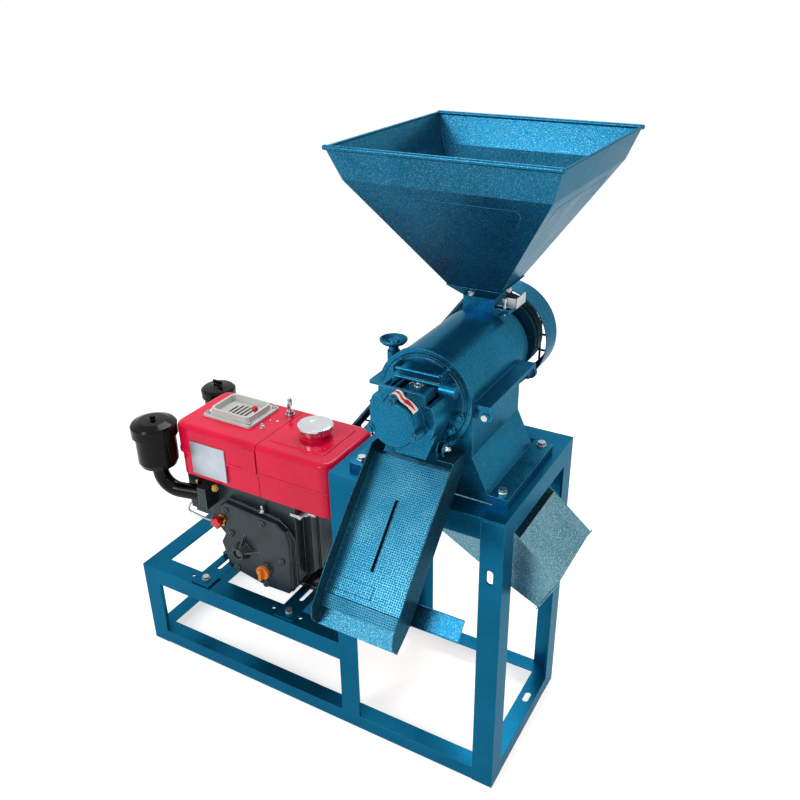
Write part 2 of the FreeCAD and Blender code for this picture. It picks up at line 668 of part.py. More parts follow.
def outlet_gate():
    """Flap across the outlet's top, hung on its upper rib, with a grip on its right end."""
    left, right = SHAFT_X - GATE_HALF, SHAFT_X + GATE_HALF
    hinge = rod_x(left - GATE_EAR, right + GATE_EAR, GATE_Y, GATE_TOP_Z, GATE_ROD_R)
    panel = box(left, right, GATE_Y - 1.5, GATE_Y + 1.5, GATE_LOW_Z, GATE_TOP_Z)
    grip_z = GATE_LOW_Z + GATE_ROD_R
    x0 = right + GATE_EAR + 1
    lip = rod_x(left, x0 + 4, GATE_Y - 1.0, grip_z, GATE_ROD_R)
    grip = rod_x(x0, x0 + GRIP_LENGTH, GATE_Y - GRIP_R - 1, grip_z, GRIP_R)
    return joined([hinge, panel, lip, grip])


def rotor():
    """Ribbed iron milling roller with the feed screw at its rear end."""
    y0, y1 = CHAMBER_FRONT + 4, CHAMBER_REAR - 12
    body = rod_y(y0, y1, SHAFT_X, SHAFT_Z, ROTOR_R)
    for k in range(4):
        rib = box(SHAFT_X - 4, SHAFT_X + 4, y0, y1, SHAFT_Z, SHAFT_Z + RIB_R)
        rib.rotate(V(SHAFT_X, 0, SHAFT_Z), V(0, 1, 0), 90.0 * k + 45.0)
        body = body.fuse(rib)
    screw = rod_y(y1, FEED_REAR - 12, SHAFT_X, SHAFT_Z, 34.0)
    flights = []
    for k in range(3):
        ring = rod_y(0, 5, SHAFT_X, SHAFT_Z, 58.0)
        ring.rotate(V(SHAFT_X, 0, SHAFT_Z), V(1, 0, 0), 8.0)
        ring.translate(V(0, y1 + 12 + 18 * k, 0))
        flights.append(ring)
    whole = joined([body, screw] + flights)
    return whole.cut(rod_y(y0 - 1, FEED_REAR, SHAFT_X, SHAFT_Z, SHAFT_R))


def huller_shaft():
    """Shaft with the polished discharge sleeve in front of the roller."""
    shaft = rod_y(BOSS_FRONT + 4, PULLEY_FRONT + PULLEY_WIDTH + 3, SHAFT_X, SHAFT_Z, SHAFT_R)
    sleeve = rod_y(NOSE_FRONT, CHAMBER_FRONT + 4, SHAFT_X, SHAFT_Z, NOSE_R)
    return joined([shaft, sleeve])


def rice_screen():
    """Half-round perforated screen under the roller, hung by its two side strips."""
    y0, y1 = CHAMBER_FRONT + CHAMBER_WALL, CHAMBER_REAR - CHAMBER_WALL
    tube = rod_y(y0, y1, SHAFT_X, SHAFT_Z, SCREEN_R)
    tube = tube.cut(rod_y(y0 - 1, y1 + 1, SHAFT_X, SHAFT_Z, SCREEN_R - SCREEN_WALL))
    z0, z1 = split_z(), split_z() + SCREEN_WALL
    tube = tube.cut(box(SHAFT_X - 200, SHAFT_X + 200, y0 - 1, y1 + 1, z1, SHAFT_Z + 100))
    out = CHAMBER_R - CHAMBER_WALL - 1.0
    strips = [box(SHAFT_X + SCREEN_R - 2, SHAFT_X + out, y0, y1, z0, z1),
              box(SHAFT_X - out, SHAFT_X - SCREEN_R + 2, y0, y1, z0, z1)]
    return joined([tube] + strips)


def rice_knife():
    x0 = SHAFT_X + RIB_R + KNIFE_GAP
    x1 = SHAFT_X + CHAMBER_R - CHAMBER_WALL - 1.5
    y0, y1 = CHAMBER_FRONT + CHAMBER_WALL + 2, CHAMBER_REAR - CHAMBER_WALL - 2
    z0 = split_z() + SCREEN_WALL
    return box(x0, x1, y0, y1, z0, z0 + KNIFE_THICKNESS)


def feed_box():
    y0, y1 = CHAMBER_REAR, FEED_REAR
    body = rod_y(y0, y1, SHAFT_X, SHAFT_Z, FEED_R)
    h = THROAT_HALF
    throat = box(NECK_X - h, NECK_X + h, y0, throat_rear(), SHAFT_Z, THROAT_TOP)
    collar = pyramid_shell([(h, THROAT_TOP), (COLLAR_HALF, COLLAR_TOP)], THROAT_WALL)
    room = joined([rod_y(y0 - 1, y1 - 8, SHAFT_X, SHAFT_Z, FEED_R - 8),
                   box(NECK_X - h + THROAT_WALL, NECK_X + h - THROAT_WALL, y0 + THROAT_FRONT_WALL,
                       throat_rear() - THROAT_WALL, SHAFT_Z, THROAT_TOP + 1),
                   rod_y(y1 - 9, y1 + 1, SHAFT_X, SHAFT_Z, SHAFT_R + 1.5)])
    right = NECK_X + h
    top = GATE_SLOT_Z - 3
    lug = box(right, right + 34, y0 + FREE_GAP, NECK_Y + 16, top - 9, top)
    bracket = box(right, right + 6, y0, NECK_Y + 16, top - 37, top)
    whole = joined([body, throat, collar, lug, bracket]).cut(room)
    slot = box(NECK_X - h + THROAT_WALL, right + 1, y0 + THROAT_FRONT_WALL, throat_rear() - THROAT_WALL,
               GATE_SLOT_Z - FREE_GAP, GATE_SLOT_Z + GATE_THICKNESS + FREE_GAP)
    screw = rod_z(top - 10, GATE_SLOT_Z, right + 22, GATE_SCREW_Y, GATE_SCREW_R + RUN_FIT)
    return whole.cut([slot, screw])


def throat_rear():
    return NECK_Y + THROAT_HALF - 5.0


def feed_gate():
    """Thin slide through the neck with a turned-up grip outside."""
    h = THROAT_HALF
    y0, y1 = CHAMBER_REAR + THROAT_FRONT_WALL + 1, throat_rear() - THROAT_WALL - 1
    z = GATE_SLOT_Z
    right = NECK_X + h + 46
    plate = box(NECK_X - h + THROAT_WALL + 1, right, y0, y1, z, z + GATE_THICKNESS)
    grip = box(right - GATE_THICKNESS, right, y0, y1, z, z + 22)
    return joined([plate, grip])


def gate_lock_screw():
    x, y = NECK_X + THROAT_HALF + 22, GATE_SCREW_Y
    z = GATE_SLOT_Z + GATE_THICKNESS
    shank = rod_z(GATE_SLOT_Z - 16, z + 12, x, y, GATE_SCREW_R)
    washer = rod_z(z + FREE_GAP, z + 2, x, y, GATE_HEAD_R)
    head = rod_z(z + 12, z + 20, x, y, GATE_HEAD_R)
    return joined([shank, washer, head])


def hopper():
    band = RIM_HALF - BAND_INSET
    levels = [(HOPPER_FOOT_HALF, COLLAR_TOP - 6), (band, RIM_Z - BAND_HEIGHT), (RIM_HALF, RIM_Z)]
    shell = pyramid_shell(levels, SHEET)
    bars = []
    for s in (-1, 1):
        bars.append(rod_x(NECK_X - RIM_HALF, NECK_X + RIM_HALF, NECK_Y + s * RIM_HALF, RIM_Z, RIM_BEAD_R))
        bars.append(rod_y(NECK_Y - RIM_HALF, NECK_Y + RIM_HALF, NECK_X + s * RIM_HALF, RIM_Z, RIM_FOLD_R))
    corners = [Part.makeSphere(RIM_BEAD_R, V(NECK_X + sx * RIM_HALF, NECK_Y + sy * RIM_HALF, RIM_Z))
               for sx in (-1, 1) for sy in (-1, 1)]
    funnel = joined([shell] + bars + corners)
    return funnel.cut(neck_collar_space())


def neck_collar_space():
    """Room that the collar's own walls take, so that the funnel's foot sits inside them."""
    return pyramid_shell([(THROAT_HALF, THROAT_TOP), (COLLAR_HALF, COLLAR_TOP)], THROAT_WALL)


# Belt drive

def groove_centres():
    return (PULLEY_WIDTH / 2 - BELT_SPACING / 2, PULLEY_WIDTH / 2 + BELT_SPACING / 2)


def grooved_pulley(x, z, radius, bore):
    """A two-groove V pulley with a rim, a thin web and a hub."""
    y0, width = PULLEY_FRONT, PULLEY_WIDTH
    depth, half = BELT_DEPTH + 2.0, BELT_TOP / 2.0
    rim = [(radius - depth - 6, 0), (radius, 0)]
    for centre in groove_centres():
        rim += [(radius, centre - half), (radius - depth, centre - half + GROOVE_LEAN),
                (radius - depth, centre + half - GROOVE_LEAN), (radius, centre + half)]
    rim += [(radius, width), (radius - depth - 6, width)]
    wheel = turned(rim, (x, y0, z), (0, 1, 0))
    web = rod_y(y0 + width / 2 - 5, y0 + width / 2 + 5, x, z, radius - depth - 5)
    hub = rod_y(y0, y0 + width, x, z, bore + 13)
    return joined([wheel, web, hub]).cut(rod_y(y0 - 1, y0 + width + 1, x, z, bore))


def band_wire(r1, r2, y):
    """Two arcs, r1 round the huller shaft and r2 round the crankshaft, with their outer tangents."""
    a = V(SHAFT_X, y, SHAFT_Z)
    b = V(CRANK_X, y, CRANK_Z)
    line = b - a
    length = line.Length
    u = line * (1.0 / length)
    n = V(u.z, 0, -u.x)
    lean = (r1 - r2) / length
    side = math.sqrt(1.0 - lean * lean)
    up = n * side + u * lean
    down = n * -side + u * lean
    p = [a + up * r1, b + up * r2, b + down * r2, a + down * r1]
    return Part.Wire([Part.LineSegment(p[0], p[1]).toShape(), Part.Arc(p[1], b + u * r2, p[2]).toShape(),
                      Part.LineSegment(p[2], p[3]).toShape(), Part.Arc(p[3], a - u * r1, p[0]).toShape()])


def tangent_band(outer_huller, outer_engine, y0, y1, wall):
    """A closed band round both pulley centres, y0 to y1 wide, wall thick."""
    def filled(r1, r2):
        return Part.Face(band_wire(r1, r2, y0)).extrude(V(0, y1 - y0, 0))
    whole = filled(outer_huller, outer_engine)
    return whole.cut(filled(outer_huller - wall, outer_engine - wall)) if wall else whole


def drive_belts():
    """Two V-belts, swept round both pulleys with the real wedge section."""
    return Part.makeCompound([wedge_belt(PULLEY_FRONT + centre) for centre in groove_centres()])


def wedge_belt(y):
    loop = band_wire(HULLER_PULLEY_R - FREE_GAP, ENGINE_PULLEY_R - FREE_GAP, y)
    start = loop.Edges[0].valueAt(loop.Edges[0].FirstParameter)
    out = start - V(SHAFT_X, y, SHAFT_Z)
    out.normalize()
    wide = BELT_TOP / 2 - 2 * FREE_GAP
    narrow = wide - GROOVE_LEAN * BELT_DEPTH / (BELT_DEPTH + 2.0)
    deep = out * -(BELT_DEPTH - 1.0)
    across = V(0, 1, 0)
    corners = [start - across * wide, start + across * wide, start + deep + across * narrow, start + deep - across * narrow]
    section = Part.makePolygon(corners + [corners[0]])
    return Part.Wire(loop.Edges).makePipeShell([section], True, False)


def belt_guard():
    y1 = GUARD_FRONT + GUARD_WIDTH
    band = tangent_band(GUARD_R, GUARD_ENGINE_R, GUARD_FRONT, y1, GUARD_SHEET)
    edge = tangent_band(GUARD_R - 1, GUARD_ENGINE_R - 1, y1 - 3, y1, 12.0)
    low, high = HULLER_DECK - 40, HULLER_DECK - 16
    reach = GUARD_R + 24
    strap = profile_y([(guard_middle(low) - reach, low), (guard_middle(low) + reach, low),
                       (guard_middle(high) + reach, high), (guard_middle(high) - reach, high)], FRAME_DEPTH, GUARD_FRONT)
    foot_top = CRANK_Z - GUARD_ENGINE_R + GUARD_SHEET
    foot = box(CRANK_X - 14, CRANK_X + 14, FRAME_DEPTH, GUARD_FRONT, ENGINE_DECK - 44, foot_top)
    return joined([band, edge, strap, foot])


def guard_middle(z):
    """Where the line between the two shafts passes this height."""
    return SHAFT_X + (CRANK_X - SHAFT_X) * (SHAFT_Z - z) / (SHAFT_Z - CRANK_Z)


def guard_mesh():
    """Expanded metal panel closing the back of the guard: crossing strands inside a narrow rim."""
    y0 = GUARD_FRONT + GUARD_WIDTH
    y1 = y0 + MESH_SHEET
    rim = tangent_band(GUARD_R - 1, GUARD_ENGINE_R - 1, y0, y1, MESH_RIM)
    area = tangent_band(GUARD_R - 1, GUARD_ENGINE_R - 1, y0, y1, 0.0)
    span = 620.0
    middle_x, middle_z = (SHAFT_X + CRANK_X) / 2, (SHAFT_Z + CRANK_Z) / 2
    strands = []
    for k in range(-int(span / MESH_PITCH), int(span / MESH_PITCH) + 1):
        for tilt in (0.0, 90.0):
            bar = box(-span, span, y0, y1, k * MESH_PITCH - MESH_BAR / 2, k * MESH_PITCH + MESH_BAR / 2)
            bar.rotate(V(0, 0, 0), V(0, 1, 0), tilt)
            bar.translate(V(middle_x, 0, middle_z))
            strands.append(bar)
    return joined([rim] + [s for bar in strands for s in bar.common(area).Solids])


# Engine

def foot_places():
    return [(x, y) for x in MOUNT_RAIL_X for y in (FOOT_INSET, FRAME_DEPTH - FOOT_INSET)]


def crankcase():
    """Case with its feet, bored for both shafts and hollow round the timing gears."""
    low = mount_rail_top()
    top = low + FOOT_TOP_RISE
    left, right = ENGINE_X - 100, ENGINE_X + 130
    outline = [(left, top), (right - 22, top), (right - 22, 300), (right, 312), (right, BODY_BOTTOM),
               (CASE_LEFT, BODY_BOTTOM), (CASE_LEFT, 412), (left, 380)]
    block = profile_y(outline, CASE_FRONT, CASE_REAR)
    side = [(right - 1, 312), (right + 26, 330), (right + 26, 505), (right - 1, 540)]
    flank = profile_y(side, CASE_FRONT + 30, CASE_REAR - 20)
    rib = [(right - 1, 305), (right + 31, 326), (right + 31, 509), (right - 1, 545)]
    ribs = [profile_y(rib, y, y + 6) for y in (CASE_FRONT + 55, CASE_REAR - 51)]
    feet = [box(x - 22, x + 22, y - 22, y + 22, low, top) for x, y in foot_places()]
    span = box(MOUNT_RAIL_X[1] - 22, MOUNT_RAIL_X[0] + 22, FOOT_INSET - 22, FRAME_DEPTH - FOOT_INSET + 22, low + 2, top)
    case = joined([block, flank, span] + ribs + feet)
    g0, g1 = GEAR_Y
    cuts = [rod_z(low - 1, top + 1, x, y, BOLT_HOLE_R) for x, y in foot_places()]
    cuts += [rod_y(g0 - 1, CASE_REAR + 1, CRANK_X, CRANK_Z, CRANK_R + RUN_FIT),
             rod_y(g0 - 1, CAM_REAR + 1, START_X, START_Z, CAM_R + RUN_FIT),
             rod_y(CASE_FRONT - 1, g0, START_X, START_Z, START_R + RUN_FIT),
             rod_y(g0 - 1, g1 + 1, CRANK_X, CRANK_Z, CRANK_GEAR_R + 2),
             rod_y(g0 - 1, g1 + 1, START_X, START_Z, CAM_GEAR_R + 2),
             rod_y(CASE_FRONT - 1, CASE_FRONT + 14, OIL_X, OIL_Z, OIL_NECK_R)]
    return case.cut(cuts)


def cover_outline(grow):
    places = [(-84 - grow, 484), (-66, 498 + grow), (88, 485 + grow), (116, 468), (126 + grow, 436),
              (122 + grow, 300), (112, 282 - grow), (40, 279 - grow), (-52, 296 - grow / 2), (-78, 326 - grow / 2),
              (-92 - grow, 372), (-74 - grow, 406), (-70 - grow, 454)]
    return [(ENGINE_X + x, z) for x, z in places]


def gear_cover():
    """Front cover with a seam flange, the webbed starting socket and the oil filler boss."""
    body = profile_y(cover_outline(0.0), COVER_FRONT, CASE_FRONT)
    body = rounded_edges(body, 5.0, lambda e: e.BoundBox.YMax < COVER_FRONT + 0.1)
    lip = profile_y(cover_outline(5.0), CASE_FRONT - 8, CASE_FRONT)
    boss = cone_y(COVER_FRONT - 24, COVER_FRONT + 4, START_X, START_Z, 16.0, 27.0)
    filler = rod_y(COVER_FRONT - 5, COVER_FRONT + 2, OIL_X, OIL_Z, OIL_R + 2)
    cover = joined([body, lip, boss, filler] + [socket_web(angle) for angle in (80.0, 10.0, 215.0)])
    return cover.cut([rod_y(COVER_FRONT - 30, COVER_FRONT - 2, START_X, START_Z, 12.5),
                      rod_y(COVER_FRONT - 30, CASE_FRONT + 1, START_X, START_Z, START_R + RUN_FIT),
                      rod_y(COVER_FRONT - 6, CASE_FRONT + 1, OIL_X, OIL_Z, OIL_NECK_R)])


def socket_web(angle):
    """Thin sloping web from the starting socket down to the cover's face."""
    half = 2.5
    y = COVER_FRONT
    corners = [(15, y - 19), (15, y + 2), (52, y + 2), (50, y - 1)]
    loop = [V(START_X + r, at, START_Z - half) for r, at in corners]
    web = Part.Face(Part.makePolygon(loop + [loop[0]])).extrude(V(0, 0, 2 * half))
    web.rotate(V(START_X, 0, START_Z), V(0, 1, 0), -angle)
    return web


def start_shaft():
    """Camshaft with its gear disc; its front end is the starting shaft with the handle's cross pin."""
    front = rod_y(COVER_FRONT - 20, GEAR_Y[0], START_X, START_Z, START_R)
    cam = rod_y(GEAR_Y[0], CAM_REAR, START_X, START_Z, CAM_R)
    gear = rod_y(*GEAR_Y, START_X, START_Z, CAM_GEAR_R)
    pin = rod_x(START_X - 12, START_X + 12, COVER_FRONT - 12, START_Z, 2.5)
    return joined([front, cam, gear, pin])


def oil_filler_cap():
    y1 = COVER_FRONT - 5
    disc = rod_y(y1 - 8, y1, OIL_X, OIL_Z, OIL_R)
    grip = box(OIL_X - 4, OIL_X + 4, y1 - 19, y1 - 8, OIL_Z - OIL_R + 3, OIL_Z + OIL_R - 3)
    plug = rod_y(y1, y1 + 20, OIL_X, OIL_Z, OIL_NECK_R - RUN_FIT)
    return joined([disc, grip, plug])


def body_outline(seam, end, inset, z):
    """Level outline of half the upper body: square at the seam, two round corners at its end."""
    s = 1 if end > seam else -1
    f, r = ENGINE_FRONT + inset, ENGINE_REAR - inset
    e = end - s * inset
    c = BODY_CORNER_R - inset
    k = c * math.sqrt(0.5)
    front, rear = V(e - s * c, f + c, z), V(e - s * c, r - c, z)
    edges = [Part.LineSegment(V(seam, f, z), V(e - s * c, f, z)).toShape(),
             Part.Arc(V(e - s * c, f, z), front + V(s * k, -k, 0), V(e, f + c, z)).toShape(),
             Part.LineSegment(V(e, f + c, z), V(e, r - c, z)).toShape(),
             Part.Arc(V(e, r - c, z), rear + V(s * k, k, 0), V(e - s * c, r, z)).toShape(),
             Part.LineSegment(V(e - s * c, r, z), V(seam, r, z)).toShape(),
             Part.LineSegment(V(seam, r, z), V(seam, f, z)).toShape()]
    return Part.Wire(edges)


def body_layer(seam, end, inset, z0, z1):
    return Part.Face(body_outline(seam, end, inset, z0)).extrude(V(0, 0, z1 - z0))


def body_block(seam, end):
    """Half of the engine's red upper body: plain skirt, ridge bead and soft-edged top."""
    skirt = body_layer(seam, end, SKIRT_INSET, BODY_BOTTOM, BODY_RIDGE)
    bead = body_layer(seam, end, -2.0, BODY_RIDGE - 7, BODY_RIDGE)
    upper = body_layer(seam, end, 0.0, BODY_RIDGE - 1, BODY_TOP)

    def on_top(edge):
        at_seam = abs(edge.BoundBox.XMin - seam) < 0.1 and abs(edge.BoundBox.XMax - seam) < 0.1
        return edge.BoundBox.ZMin > BODY_TOP - 0.1 and not at_seam

    upper = rounded_edges(upper, BODY_SOFT_R, on_top)
    return joined([skirt, bead, upper])


def water_hopper():
    seam = BODY_SEAM - SEAM / 2
    block = body_block(seam, BODY_LEFT)
    pad = box(seam - 38, seam, ENGINE_FRONT - 3, ENGINE_FRONT + 10, BODY_RIDGE - 7, BODY_TOP - BODY_SOFT_R - 1)
    well = rod_z(BODY_TOP - 90, BODY_TOP + 1, GRILLE_X, GRILLE_Y, WELL_R)
    guide = rod_z(BODY_TOP - 90, BODY_TOP + 1, GRILLE_X + FLOAT_OFFSET, GRILLE_Y, FLOAT_R + 2)
    return joined([block, pad]).cut([well, guide])


def fuel_tank():
    left = BODY_SEAM + SEAM / 2
    block = body_block(left, BODY_RIGHT)
    neck = rod_z(BODY_TOP - 4, BODY_TOP + NECK_RISE, CAP_X, CAP_Y, TANK_NECK_R)
    hole = rod_z(BODY_TOP - 60, BODY_TOP + NECK_RISE + 1, CAP_X, CAP_Y, TANK_NECK_R - 5)
    return joined([block, tank_panel(left), neck]).cut(hole)


def tank_panel(left):
    """Pressed-up level panel round the filler."""
    def ring(inset, z):
        x0, x1 = left + 15 + inset, BODY_RIGHT - 36 - inset
        y0, y1 = ENGINE_FRONT + 36 + inset, ENGINE_REAR - 30 - inset
        corners = [V(x0, y0, z), V(x1, y0, z), V(x1, y1, z), V(x0, y1, z), V(x0, y0, z)]
        return Part.makePolygon(corners)
    return Part.makeLoft([ring(0.0, BODY_TOP - 1), ring(0.0, BODY_TOP), ring(TANK_CROWN, BODY_TOP + TANK_CROWN)], True, True)


def tank_cap():
    """Fluted bright cap with a flat middle, that turns on the filler neck."""
    r = TANK_CAP_R
    z0 = BODY_TOP + NECK_RISE
    outline = [(0, 0), (r - 3, 0), (r - 2, 12), (r, 14), (r - 1, 17), (r - 5, 19), (13, 20.5), (12, 20), (0, 20)]
    body = turned(outline, (CAP_X, CAP_Y, z0), (0, 0, 1))
    flutes = []
    for k in range(24):
        a = math.radians(15 * k)
        x, y = CAP_X + (r - 1.6) * math.cos(a), CAP_Y + (r - 1.6) * math.sin(a)
        flutes.append(rod_z(z0 - 1, z0 + 11, x, y, 1.8))
    return body.cut(flutes)


def float_grille():
    """Moulded frame on the water hopper with the round slotted guard in its floor."""
    x, y, z = GRILLE_X, GRILLE_Y, BODY_TOP
    hx, hy = GRILLE_LENGTH / 2, GRILLE_DEPTH / 2
    plate = rounded_edges(box(x - hx, x + hx, y - hy, y + hy, z, z + 5), 8.0, upright)
    rim = rounded_edges(box(x - hx + 13, x + hx - 13, y - hy + 13, y + hy - 13, z + 5, z + 19), 16.0, upright)
    bowl = rounded_edges(box(x - hx + 19, x + hx - 19, y - hy + 19, y + hy - 19, z + 4, z + 20), 12.0, upright)
    frame = joined([plate, rim]).cut(bowl)
    cuts = []
    for k in range(5):
        sx = x - 24 + 12 * k
        half = math.sqrt(30.0 ** 2 - (sx - x) ** 2)
        cuts.append(slot_z(sx, y - half, y + half, 7.0, z - 1, z + 6))
    cuts.append(rod_z(z - 1, z + 6, x + FLOAT_OFFSET, y, 3.0 + RUN_FIT))
    return frame.cut(cuts)


def water_float():
    x, y, z = GRILLE_X + FLOAT_OFFSET, GRILLE_Y, BODY_TOP
    rod = rod_z(z - 40, z + 14, x, y, 3.0)
    ball = Part.makeSphere(FLOAT_R, V(x, y, z + 20))
    disc = rod_z(z - 42, z - 32, x, y, FLOAT_R + 1)
    return joined([rod, ball, disc])


def lifting_eye():
    x, y, z = ENGINE_X + 29, ENGINE_REAR - 37, BODY_TOP
    washer = rod_z(z, z + 3, x, y, 12.0)
    nut = rod_z(z + 3, z + 11, x, y, 9.0)
    shank = rod_z(z + 11, z + 20, x, y, 4.0)
    ring = Part.makeTorus(13.0, 3.5, V(x, y, z + 32), V(1, 0.45, 0))
    return joined([washer, nut, shank, ring])


def cylinder_head():
    """Head under the water hopper, with the exhaust port in front and the intake port behind."""
    x1 = CASE_LEFT
    body = box(HEAD_LEFT, x1, 86, 232, 430, 544)
    fins = [box(HEAD_LEFT + 6, x1, 94 + 22 * k, 100 + 22 * k, 414, 431) for k in range(6)]
    cover = rounded_edges(box(HEAD_LEFT - 14, HEAD_LEFT, 104, 190, 446, 526), 8.0,
                          lambda e: e.BoundBox.XMax < HEAD_LEFT - 13)
    port = box(PORT_X, PORT_X + 26, 46, 86, 470, 528)
    return joined([body, cover, port] + fins)


def exhaust_elbow():
    y, z = 66.0, 499.0
    route = [(PORT_X - 8, y, z), (MUFFLER_X, MUFFLER_Y, z), (MUFFLER_X, MUFFLER_Y, MUFFLER_Z[0])]
    pipe = bent_tube(route, EXHAUST_R, 50.0)
    flange = [rod_x(PORT_X - 8, PORT_X, y, z, 20.0)]
    flange += [rod_x(PORT_X - 8, PORT_X, y, z + s * 19, 10.0) for s in (-1, 1)]
    return joined([pipe] + flange)


def muffler():
    x, y = MUFFLER_X, MUFFLER_Y
    z0, z1 = MUFFLER_Z
    r = MUFFLER_R
    h = z1 - z0
    outline = [(0, 0), (r - 26, 0), (r - 12, 6), (r - 7, 18), (r - 7, h - 42), (r, h - 40), (r, h - 14),
               (r - 4, h - 9), (r - 22, h - 2), (0, h)]
    pot = turned(outline, (x, y, z0), (0, 0, 1))
    return joined([pot, rod_z(z1 - 6, z1 + 9, x, y, 7.0)])


def intake_elbow():
    x, z = ENGINE_X - 168, 488.0
    route = [(x, 240, z), (x, CLEANER_Y, z), (CLEANER_X, CLEANER_Y, z), (CLEANER_X, CLEANER_Y, CLEANER_Z[0])]
    return joined([bent_tube(route, INTAKE_R, 22.0), rod_y(232, 240, x, z, 26.0)])


def air_cleaner():
    x, y = CLEANER_X, CLEANER_Y
    z0, z1 = CLEANER_Z
    r = CLEANER_R
    h = z1 - z0
    outline = [(0, 0), (r - 12, 0), (r - 6, 8), (r - 6, h - 30), (r, h - 28), (r, h - 8), (r - 6, h - 3),
               (14, h), (12, h + 3), (0, h + 3)]
    pot = turned(outline, (x, y, z0), (0, 0, 1))
    stud = rod_z(z1 + 2, z1 + 12, x, y, 3.0)
    wings = box(x - 15, x + 15, y - 2, y + 2, z1 + 5, z1 + 15)
    return joined([pot, stud, wings])


def fuel_tap():
    x, y = TAP_X, TAP_Y
    body = rod_z(BODY_BOTTOM - 30, BODY_BOTTOM, x, y, 8.0)
    arm = rod_y(y - 22, y, x, BODY_BOTTOM - 20, 6.0)
    spout = rod_x(x, x + 26, y, BODY_BOTTOM - 24, 4.5)
    return joined([body, arm, spout])


def fuel_tap_lever():
    x, y, z = TAP_X, TAP_Y - 22, BODY_BOTTOM - 20
    hub = rod_y(y - 7, y - FREE_GAP, x, z, 6.0)
    blade = box(x - 26, x, y - 6, y - 2, z - 4, z + 4)
    return joined([hub, blade])


def drain_cock():
    x, z = KNOB_X, KNOB_Z
    front = CASE_FRONT - 24
    body = joined([rod_y(front, CASE_FRONT, x, z, 8.0), rod_y(front + 8, CASE_FRONT, x, z, 11.0),
                   rod_z(z - 24, z, x, front + 14, 5.0), rod_x(x - 26, x, front + 14, z - 24, 4.5)])
    return body.cut(rod_y(front - 1, front + 10, x, z, 3.0 + RUN_FIT))


def drain_knob():
    x, z = KNOB_X, KNOB_Z
    y0, y1 = CASE_FRONT - 42, CASE_FRONT - 29
    lobes = []
    for k in range(5):
        a = math.radians(72 * k)
        lobes.append(rod_y(y0, y1, x + 11 * math.cos(a), z + 11 * math.sin(a), 5.5))
    return joined([rod_y(y0, y1, x, z, 12.0), rod_y(y1, y1 + 14, x, z, 3.0)] + lobes)


def injection_pipe():
    """Bent pipe from the head to the cock's side arm."""
    left, z = ENGINE_X - 203, KNOB_Z - 24
    y = CASE_FRONT - 10
    route = [(ENGINE_X - 186, CASE_FRONT, 460), (ENGINE_X - 186, 68, 460), (left, 68, 428), (left + 40, y, z),
             (KNOB_X - 26, y, z)]
    return bent_tube(route, PIPE_R, 8.0)


def crankshaft():
    """Crankshaft with the gear disc that drives the camshaft's at half speed."""
    main = rod_y(GEAR_Y[0], PULLEY_FRONT + PULLEY_WIDTH + 3, CRANK_X, CRANK_Z, CRANK_R)
    return joined([main, rod_y(*GEAR_Y, CRANK_X, CRANK_Z, CRANK_GEAR_R)])


def flywheel():
    y0, y1 = FLYWHEEL
    r = FLYWHEEL_R
    w = y1 - y0
    wheel = turned([(r - 26, 0), (r, 0), (r, w), (r - 26, w)], (CRANK_X, y0, CRANK_Z), (0, 1, 0))
    web = rod_y(y0 + 12, y0 + 26, CRANK_X, CRANK_Z, r - 25)
    hub = rod_y(y0, PULLEY_FRONT, CRANK_X, CRANK_Z, CRANK_R + 16)
    return joined([wheel, web, hub]).cut(rod_y(y0 - 1, PULLEY_FRONT + 1, CRANK_X, CRANK_Z, CRANK_R))


# Chutes

def tray_point(s, n):
    """Turns a place along (s) and above (n) the leaning tray floor into (y, z)."""
    a = math.radians(TRAY_TILT)
    return (TRAY_TOP_Y - s * math.cos(a) - n * math.sin(a), TRAY_TOP_Z - s * math.sin(a) + n * math.cos(a))


def tray_sheet(x0, x1, corners):
    return profile_x([tray_point(s, n) for s, n in corners], x0, x1)


def rice_tray():
    """Open chute: two cheeks, a floor with its lip, and a short roof over the right top corner."""
    top, deep, end = TRAY_WALL_HIGH, TRAY_DEEP, TRAY_LENGTH
    t = TRAY_SHEET
    front_y, front_z = 2.0, 830.0
    rear_y = CHAMBER_FRONT
    cheek = [(rear_y, 800.0), (rear_y, front_z), (front_y, front_z)]
    edge = [(110, top), (250, top), (end - 26, top - 6), (end - 6, top - 20), (end, 8), (end, 0),
            (end - 40, -deep + 4), (end - 60, -deep), (20, -deep)]
    cheek += [tray_point(s, n) for s, n in edge]
    walls = [profile_x(cheek, TRAY_LEFT, TRAY_LEFT + t), profile_x(cheek, TRAY_RIGHT - t, TRAY_RIGHT)]
    floor = tray_sheet(TRAY_LEFT, TRAY_RIGHT, [(0, 0), (end, 0), (end, -t), (0, -t)])
    roof = box(TRAY_RIGHT - 36, TRAY_RIGHT, front_y, rear_y - 1, front_z - t, front_z)
    return joined(walls + [floor, roof])


def tray_screen():
    """Perforated false floor with upturned edges and the stepped end strip."""
    t = TRAY_SHEET
    x0, x1 = TRAY_LEFT + t + 0.5, TRAY_RIGHT - t - 0.5
    rise = 6.0
    floor = tray_sheet(x0, x1, [(8, rise), (300, rise), (300, rise + t), (8, rise + t)])
    sides = [tray_sheet(a, a + t, [(8, 0.0), (300, 0.0), (300, 20), (8, 20)]) for a in (x0, x1 - t)]
    outline = [(296, rise), (296, rise + t), (299, rise + t), (301, 14), (328, 7.4), (328, 0.2), (326.5, 0.2),
               (326.5, 6), (302.5, 12), (300.5, rise)]
    step = tray_sheet(x0, x1, outline)
    groove = tray_sheet(-216, -206, [(90, rise - 1), (236, rise - 1), (236, rise + t + 1), (90, rise + t + 1)])
    return joined([floor, step] + sides).cut(groove)


